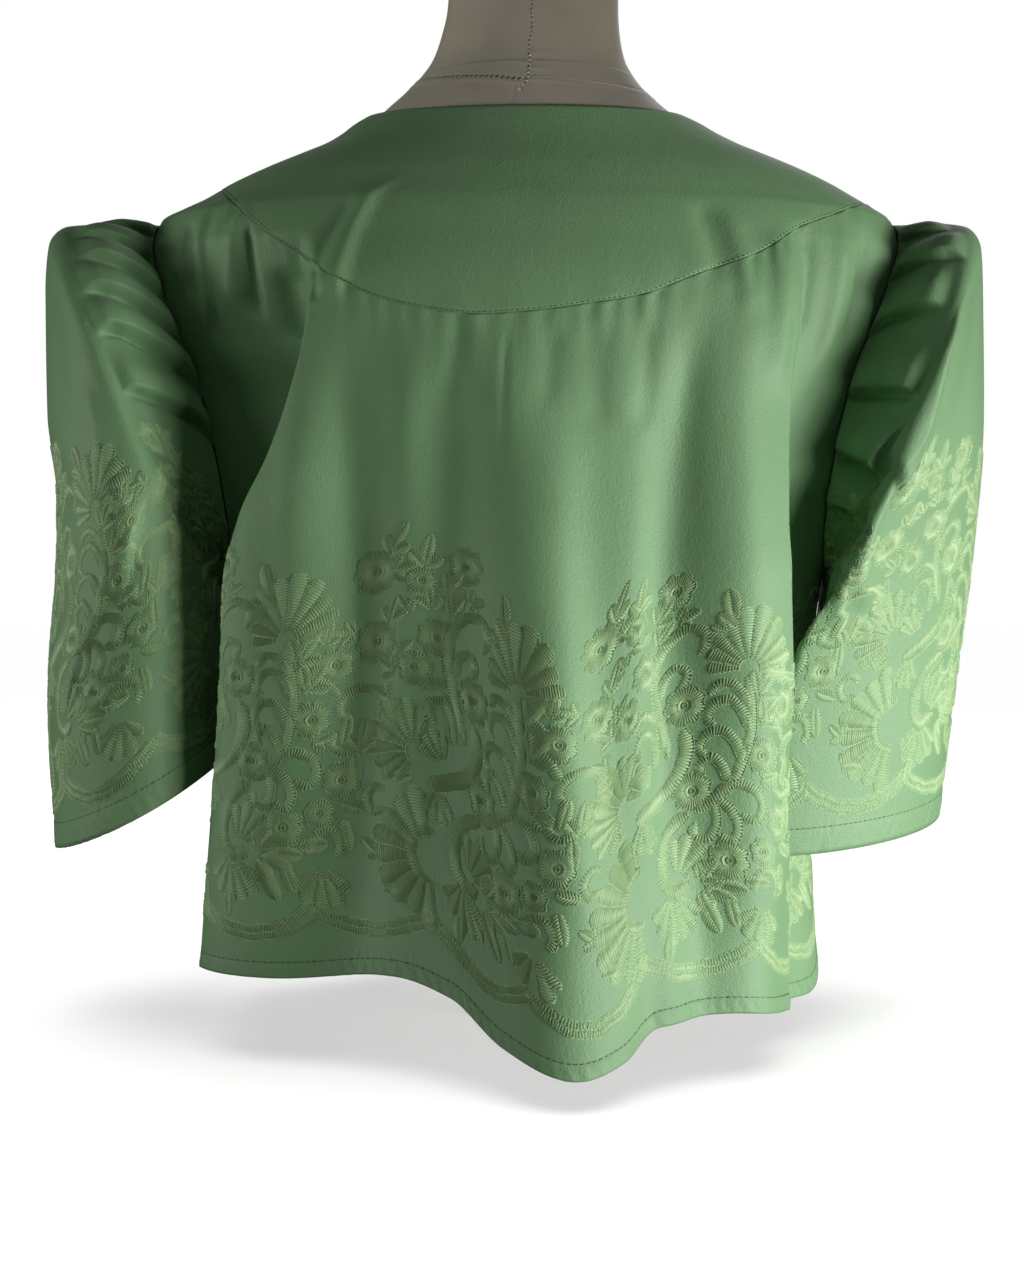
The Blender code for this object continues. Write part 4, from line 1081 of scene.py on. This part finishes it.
def cloth_looks():
    """Green crepe with a fine pebbled face, shinier embroidery floss, and dark green sewing thread."""
    crepe = make_look(
        "green_crepe", (0.19, 0.36, 0.178), 0.58, 0.16,
        dye=(9.0, 3.0, (0.178, 0.342, 0.166), (0.205, 0.378, 0.190)),
        bumps=(
            (55.0, 3.0, (1.0, 1.0, 0.6), 0.35, 0.0010),
            (300.0, 3.0, (1.0, 1.0, 0.35), 0.6, 0.00025),
            (850.0, 2.0, EVEN, 0.8, 0.00035),
        ),
    )
    floss = make_look(
        "embroidery_floss", (0.32, 0.49, 0.24), 0.45, 0.30,
        dye=(60.0, 2.0, (0.29, 0.46, 0.215), (0.35, 0.52, 0.265)),
        bumps=((2600.0, 2.0, EVEN, 0.35, 0.00008),),
    )
    thread = make_look(
        "sewing_thread", (0.05, 0.13, 0.05), 0.5, 0.1, bumps=((2400.0, 2.0, EVEN, 0.4, 0.00008),),
    )
    return crepe, floss, thread


def form_looks():
    """The form's taupe knit cover with a faint satin sheen, its light threads, and its dark threads,
    which also paint the shade in the back seam's groove.
    """
    jersey = make_look(
        "form_jersey", (0.30, 0.27, 0.21), 0.42, 0.35,
        dye=(14.0, 3.0, (0.27, 0.24, 0.19), (0.33, 0.29, 0.23)),
        bumps=(
            (45.0, 2.0, (1.0, 1.0, 0.25), 0.25, 0.0012),
            (900.0, 2.0, (1.6, 1.6, 0.5), 0.4, 0.00010),
        ),
    )
    light = make_look("form_thread_light", (0.62, 0.58, 0.50), 0.5, 0.2)
    # Dark thread for every second left-hand stitch round the neck, also used as painted shade in the
    # back seam's groove
    dark = make_look("form_thread_dark_and_painted_seam_shade", (0.10, 0.085, 0.065), 0.5, 0.2)
    return jersey, light, dark


# The jacket's pieces: each is an object, the solids that it stands for and its material slot

BACK_ROWS = 181
BACK_SHARES = (62, 8, 8, 190, 8, 8, 60)
YOKE_ROWS = 55
FRONT_ROWS, FRONT_COLUMNS = 151, 97
SLEEVE_ROWS = 131
YOKE_GAP = 0.0001             # between the yoke and the panel below it
YOKE_STITCH = 0.0009          # from the yoke's seam up to its topstitching
HEM_STITCH = 0.008            # from the body's hem up to its topstitching
CUFF_STITCH = 0.014           # the same at the cuffs
ROPE = 0.00035                # how proud a hem's ripples are
ROPE_PITCH = 7.5              # millimetres of hem from one ripple to the next
ROPE_SLANT = 650.0            # millimetres that a ripple would move along the hem for a metre up
PUCKER = 0.00018              # how proud the puckers at the stitching are
PUCKER_PITCH = 5.2            # millimetres from one pucker to the next
HEM_GROOVE = 0.0004           # how deep the stitching sinks into the hem
YOKE_GROOVE = 0.00012         # and how deep into the yoke
LINE_CLOSEST = 0.45           # least turn between two lengthwise lines of a sleeve


def hem_ripple(cloth, level):
    """Ropy ripples between a hem's edge and its stitching, and a groove at the stitching."""
    columns = cloth.outer.shape[1]
    u, v = cloth.along[:, :columns] * 1000, cloth.up
    wobble = 2.2 * np.sin(u / 23.0) + 1.4 * np.sin(u / 9.1)
    ropes = np.sin(2 * math.pi * (u + wobble + v * ROPE_SLANT) / ROPE_PITCH)
    window = ease(v / 0.002) * (1 - ease((v - level * 0.55) / (level * 0.45)))
    groove = line_bump((v - level) / 0.0011)
    below = 1 - ease((v - level) / 0.0015)
    pucker = PUCKER * np.sin(2 * math.pi * u / PUCKER_PITCH) * line_bump((v - level) / 0.004)
    return ROPE * ropes * window + ROPE * below - HEM_GROOVE * groove + pucker


def seam_gathers(cloth, distance, strength):
    """Small gathers that run from a seam and die out, by the distance from it."""
    columns = cloth.outer.shape[1]
    u = cloth.along[-1, :columns][None, :] * 1000
    waves = np.sin(u / 2.1 + 1.3 * np.sin(u / 17.0)) + 0.8 * np.sin(u / 3.9 + 2.0 * np.sin(u / 31.0))
    patch = 0.45 + 0.55 * np.sin(u / 26.0 + 0.8) ** 2
    return strength * waves * patch * np.exp(-distance / 0.014) * ease(distance / 0.001)


def shell_piece(node, cloth, look):
    """A piece of cloth, in place of its solid."""
    return cloth_shell("cloth_" + node, cloth, look), (node,), "green_cloth"


def border_piece(name, node, cloth, stitches, look, margin):
    """The embroidery of a piece of cloth."""
    mesh = stitch_mesh("embroidery_" + name, cloth, stitches, look, margin)
    return mesh, (node + "_scallops",), "band_thread"


def thread_piece(name, cloth, stitches, look, margin=0.002):
    """A row of topstitching."""
    return stitch_mesh("topstitch_" + name, cloth, stitches, look, margin), (), None


def make_back(crepe, floss, thread):
    """The back panel and the yoke above it, with the border and topstitching."""
    domain = back_domain(BACK_ROWS, BACK_SHARES)
    gap = np.array((0.0, YOKE_GAP / 2))
    yoke_grid = yoke_domain(domain[-1] + gap, YOKE_ROWS)
    domain[-1] -= gap
    back = Cloth(body_point(domain[..., 0], domain[..., 1]), int(np.argmin(np.abs(domain[0, :, 0]))))
    back.lift(hem_ripple(back, HEM_STITCH) + seam_gathers(back, back.up[-1] - back.up, 0.00055))
    back.lay_flat()
    yoke = Cloth(body_point(yoke_grid[..., 0], yoke_grid[..., 1]), back.middle, reach=0.11)
    groove = YOKE_GROOVE * line_bump((yoke.up - YOKE_STITCH) / 0.001)
    yoke.lift(seam_gathers(yoke, yoke.up, 0.0003) - groove)
    yoke.lay_flat()
    return [
        shell_piece("back_panel", back, crepe),
        shell_piece("back_yoke", yoke, crepe),
        border_piece("back", "back_panel", back, border(back, -112.0, 0.40), floss, 0.002),
        thread_piece("back_hem", back, topstitch(back, HEM_STITCH), thread),
        thread_piece("yoke", yoke, topstitch(yoke, YOKE_STITCH, 0.0017, 0.0011), thread),
    ]


def make_front(side, crepe, floss, thread):
    """One front with its border and topstitching."""
    hand = HANDS[side]
    node = "front_" + hand
    domain = front_domain(side, FRONT_ROWS, FRONT_COLUMNS)
    front = Cloth(body_point(domain[..., 0], domain[..., 1]), 0, side)
    front.lift(hem_ripple(front, HEM_STITCH))
    front.lay_flat()
    return [
        shell_piece(node, front, crepe),
        border_piece(node, node, front, border(front, 20.0, 0.10), floss, 0.010),
        thread_piece("front_hem_" + hand, front, topstitch(front, HEM_STITCH), thread),
    ]


def sleeve_lines(side):
    """Turns at the armhole of a sleeve's lengthwise lines, closer together at each pleat's edge."""
    turns = list(np.arange(0.0, 360.0, 1.8))
    for edge, _, _, _ in pleats(side):
        back = 1 if edge < 180 else -1
        turns += [edge + back * PLEAT_STEP * k / 4 for k in range(-1, 9)]
    turns = sorted(turns)
    kept = [turns[0]]
    for turn in turns[1:]:
        if turn - kept[-1] > LINE_CLOSEST:
            kept.append(turn)
    if len(kept) % 2:
        kept.pop()
    return np.array(kept)


def make_sleeve(side, first, crepe, floss, thread):
    """One sleeve with its pleats, border and cuff stitching."""
    hand = HANDS[side]
    node = "sleeve_" + hand
    ways = np.linspace(0, 1, SLEEVE_ROWS)[:, None]
    line, way = np.broadcast_arrays(sleeve_lines(side)[None, :], ways)
    outer = sleeve_point(line - climb(line, way, side), way, side)[::-1]
    middle = int(np.argmin(np.abs(line[0] - 60.0)))
    sleeve = Cloth(outer, middle, -side, tube=True)
    sleeve.lift(hem_ripple(sleeve, CUFF_STITCH))
    sleeve.lay_flat()
    round_cuff = float(sleeve.high[0] - sleeve.low[0])
    repeat = round_cuff / round(round_cuff / BAND_REPEAT)
    return [
        shell_piece(node, sleeve, crepe),
        border_piece(node, node, sleeve, border(sleeve, first, 0.0, repeat), floss, 0.0),
        thread_piece("cuff_" + hand, sleeve, topstitch(sleeve, CUFF_STITCH), thread, 0.0),
    ]


# The dress form

FORM_TURNS = ((-180.0, -10.0, 3.4), (-10.0, 10.0, 0.5), (10.0, 180.0, 3.4))
FORM_HEIGHTS = (
    np.linspace(0.0, 0.44, 34), np.linspace(0.446, 0.514, 16), np.arange(0.515, 0.530, 0.0005),
    np.linspace(0.530, 0.590, 46), np.linspace(0.592, 0.600, 6),
)
NECK_STEP = 1.25              # turn from one stitch round the neck's foot to the next
NECK_STITCH = 1.5             # turn that each of them spans
NECK_SLANT = 0.0006           # how far its ends lie below and above the seam
BACK_STEP = 0.0026            # height from one stitch of the back seam to the next
SEAM_SHADE_STITCH = 0.0019          # length of the back seam's dark stitches, which paint the shade in its groove
FORM_INSET = 0.0003           # from the end of a stitch on the form to where it is highest
CROSS_TURN = 0.9              # turn from the back seam to the ends of the stitches across it


def form_relief(turn, height):
    """The cover's seams as grooves, and the small puckers that the back one draws."""
    across = (turn - read(BACK_SEAM, "turn", height)) * DEGREE_OF_NECK
    relief = -0.0008 * line_bump(across / 0.0005) * ease((height - 0.500) / 0.006)
    for pucker in rows_of(PUCKERS):
        away = pucker["side"] * across
        rise = line_bump((height - pucker["height"] - pucker["slope"] * away) / 0.0011)
        ends = ease(away / 0.0015) * (1 - ease(away / pucker["reach"]))
        relief = relief + pucker["proud"] * rise * ends
    below = height - read(NECK_SEAM, "height", turn)
    return relief - 0.0006 * line_bump(below / 0.0007) + 0.0004 * line_bump((below + 0.0022) / 0.0014)


def form_point(turn, height):
    """A point of the dress form's cover."""
    return section_point(FORM, turn, height, form_relief)


def sewn_on_form(name, start, stop, wide, high, material):
    """One mesh of raised stitches on the form, from the turn and height of both their ends."""
    a, b = form_point(*start.T), form_point(*stop.T)
    normal = outward(form_point, *start.T, 1.0, 0.001)
    run = unit(b - a)
    across = np.cross(normal, run) * wide / 2
    top, sunk = normal * high, normal * STITCH_SUNK
    corners = zip(roof_corners(a, b, across, run * FORM_INSET), (sunk, top, sunk) * 2)
    return add_roofs(name, [p + h for p, h in corners], material), (), None


def make_form(look, light_look, dark_thread_and_shade_look):
    """The dress form's cover, with its sewn seams at the back and round the neck's foot. Dark stitches
    down the back seam paint the shade in its groove.
    """
    turns = np.concatenate([np.arange(*span) for span in FORM_TURNS])
    grid = form_point(turns[None, :], np.concatenate(FORM_HEIGHTS)[:, None])
    ids = np.arange(grid[..., 0].size).reshape(grid.shape[:2])
    faces = grid_faces(np.concatenate((ids, ids[:, :1]), axis=1)).tolist()
    faces += [ids[0, ::-1].tolist(), ids[-1].tolist()]
    cover = add_mesh("form_cover", grid, faces, look)
    turn = np.arange(-179.0, 179.0, NECK_STEP)
    level = read(NECK_SEAM, "height", turn)
    start = joined(turn, level - NECK_SLANT)
    stop = joined(turn + NECK_STITCH, level + NECK_SLANT)
    twisted = (turn < 0) & (np.arange(len(turn)) % 2 == 0)
    level = np.arange(0.512, 0.598, BACK_STEP)
    slant = 0.00045 * np.sin(level * 1700.0)
    seam, seam_end = (read(BACK_SEAM, "turn", z) for z in (level, level + SEAM_SHADE_STITCH))
    light = (
        np.concatenate((start[~twisted], joined(seam - CROSS_TURN, level - slant))),
        np.concatenate((stop[~twisted], joined(seam + CROSS_TURN, level + slant))),
    )
    # Dark stitches: every second one on the left half of the neck seam, and a line down the back seam
    # that paints the shade in its groove
    dark = (
        np.concatenate((start[twisted], joined(seam, level))),
        np.concatenate((stop[twisted], joined(seam_end, level + SEAM_SHADE_STITCH))),
    )
    return [
        (cover, ("dress_form",), "form_cover"),
        sewn_on_form("stitches_form_light", *light, 0.0007, 0.0005, light_look),
        # Dark neck stitches, and painted shade along the back seam's groove
        sewn_on_form("stitches_form_dark_and_painted_seam_shade", *dark, 0.0006, 0.0003, dark_thread_and_shade_look),
    ]


# The studio

AMBIENT = 0.006               # strength of the light from all round
WARM, COOL, WHITE = (1.0, 0.99, 0.95), (0.95, 1.0, 0.90), (1.0, 1.0, 1.0)
LIGHTS = (  # name, place, aim, size, power, colour, spread in degrees, the one piece that it lights
    ("key_low", (1.05, -0.95, 0.04), (0.05, -0.05, 0.0), 0.4, 1.5, WARM, 60.0, None),
    ("key_middle", (1.30, -0.68, 0.08), (0.05, -0.05, 0.10), 0.4, 1.9, WARM, 60.0, None),
    ("key_side", (1.50, -0.45, 0.10), (0.05, -0.05, 0.10), 0.4, 1.1, WARM, 60.0, None),
    ("fill_left", (-1.60, -0.75, 0.25), (-0.2, -0.05, 0.25), 0.6, 0.36, COOL, 60.0, None),
    ("fill_side", (-2.00, -0.20, 0.30), (-0.2, 0.0, 0.30), 0.6, 1.2, COOL, 60.0, None),
    ("fill_top", (0.0, -1.00, 1.50), (0.0, -0.05, 0.30), 0.8, 0.2, (0.95, 1.0, 0.92), 60.0, None),
    ("fill_form", (-1.20, -0.90, 0.70), (0.0, 0.0, 0.55), 0.6, 0.8, WHITE, 60.0, "form_cover"),
    ("front", (0.3, 1.7, 1.1), (0.0, -0.05, 0.26), 1.4, 8.0, WHITE, 180.0, None),
)
FLOOR_LIGHTS = (  # name, power, whether it casts shadows
    ("floor_wash", 2.6, False),
    ("floor_shade", 1.2, True),
)
FLOOR_REACH = 6.0
IMAGE_LONG_SIDE = 1280.0
CAMERA_FOCUS = 1925.0         # focal length in pixels of the long side
CAMERA_DROP = 80.0            # pixels from the horizon down to the picture's middle
CAMERA_PLACE = (-0.008, -1.10, 0.257)
SENSOR = 36.0


def light_only(light, name, lit):
    """Makes a light shine on one object alone."""
    group = bpy.data.collections.new("lit_by_" + name)
    group.objects.link(lit)
    light.light_linking.receiver_collection = group


def add_light(name, place, aim, size, power, colour, spread, only):
    """A square soft light."""
    data = bpy.data.lights.new(name, "AREA")
    data.spread = math.radians(spread)
    data.energy, data.size, data.color = power, size, colour
    light = add_object(name, data)
    light.location = place
    light.rotation_euler = (Vector(aim) - Vector(place)).to_track_quat("-Z", "Y").to_euler()
    if only:
        light_only(light, name, bpy.data.objects[only])


def add_world():
    """A faint light from all round, and a white backdrop for the camera alone."""
    world = bpy.data.worlds.new("studio")
    world.use_nodes = True
    nodes, links = world.node_tree.nodes, world.node_tree.links
    ambient, backdrop = nodes["Background"], nodes.new("ShaderNodeBackground")
    for node, colour, strength in ((ambient, (0.90, 0.96, 1.0), AMBIENT), (backdrop, WHITE, 1.0)):
        node.inputs["Color"].default_value = (*colour, 1.0)
        node.inputs["Strength"].default_value = strength
    path = nodes.new("ShaderNodeLightPath")
    mix = nodes.new("ShaderNodeMixShader")
    links.new(path.outputs["Is Camera Ray"], mix.inputs[0])
    links.new(ambient.outputs[0], mix.inputs[1])
    links.new(backdrop.outputs[0], mix.inputs[2])
    links.new(mix.outputs[0], nodes["World Output"].inputs["Surface"])
    bpy.context.scene.world = world


def studio():
    """A pale floor, soft lights and the camera behind the jacket."""
    mesh = bpy.data.meshes.new("floor")
    corners = [(x * FLOOR_REACH, y * FLOOR_REACH, 0) for x, y in ((-1, -1), (1, -1), (1, 1), (-1, 1))]
    mesh.from_pydata(corners, [], [(0, 1, 2, 3)])
    mesh.materials.append(make_look("pale_floor", (0.86, 0.86, 0.86), 0.8, 0.0))
    floor = add_object("floor", mesh)
    floor.visible_diffuse = False
    floor.visible_glossy = False
    add_world()
    bpy.context.scene.view_settings.view_transform = "Standard"
    for row in LIGHTS:
        add_light(*row)
    for name, power, shadow in FLOOR_LIGHTS:
        data = bpy.data.lights.new(name, "SUN")
        data.energy, data.angle, data.use_shadow = power, 1.2, shadow
        light_only(add_object(name, data), name, floor)
    lens = bpy.data.cameras.new("camera")
    lens.sensor_width = SENSOR
    lens.lens = SENSOR * CAMERA_FOCUS / IMAGE_LONG_SIDE
    lens.shift_y = -CAMERA_DROP / IMAGE_LONG_SIDE
    camera = add_object("camera", lens)
    camera.location = CAMERA_PLACE
    camera.rotation_euler = (math.radians(90), 0, 0)
    bpy.context.scene.camera = camera


def build():
    """Every piece, riding on the one body and standing for its solid."""
    looks = cloth_looks()
    pieces = make_form(*form_looks())
    pieces += make_back(*looks)
    pieces += make_front(-1, *looks)
    pieces += make_front(1, *looks)
    pieces += make_sleeve(-1, -66.0, *looks)
    pieces += make_sleeve(1, -35.0, *looks)
    for piece, nodes, slot in pieces:
        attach(piece, "root")
        if nodes:
            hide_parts(*nodes)


build()
studio()
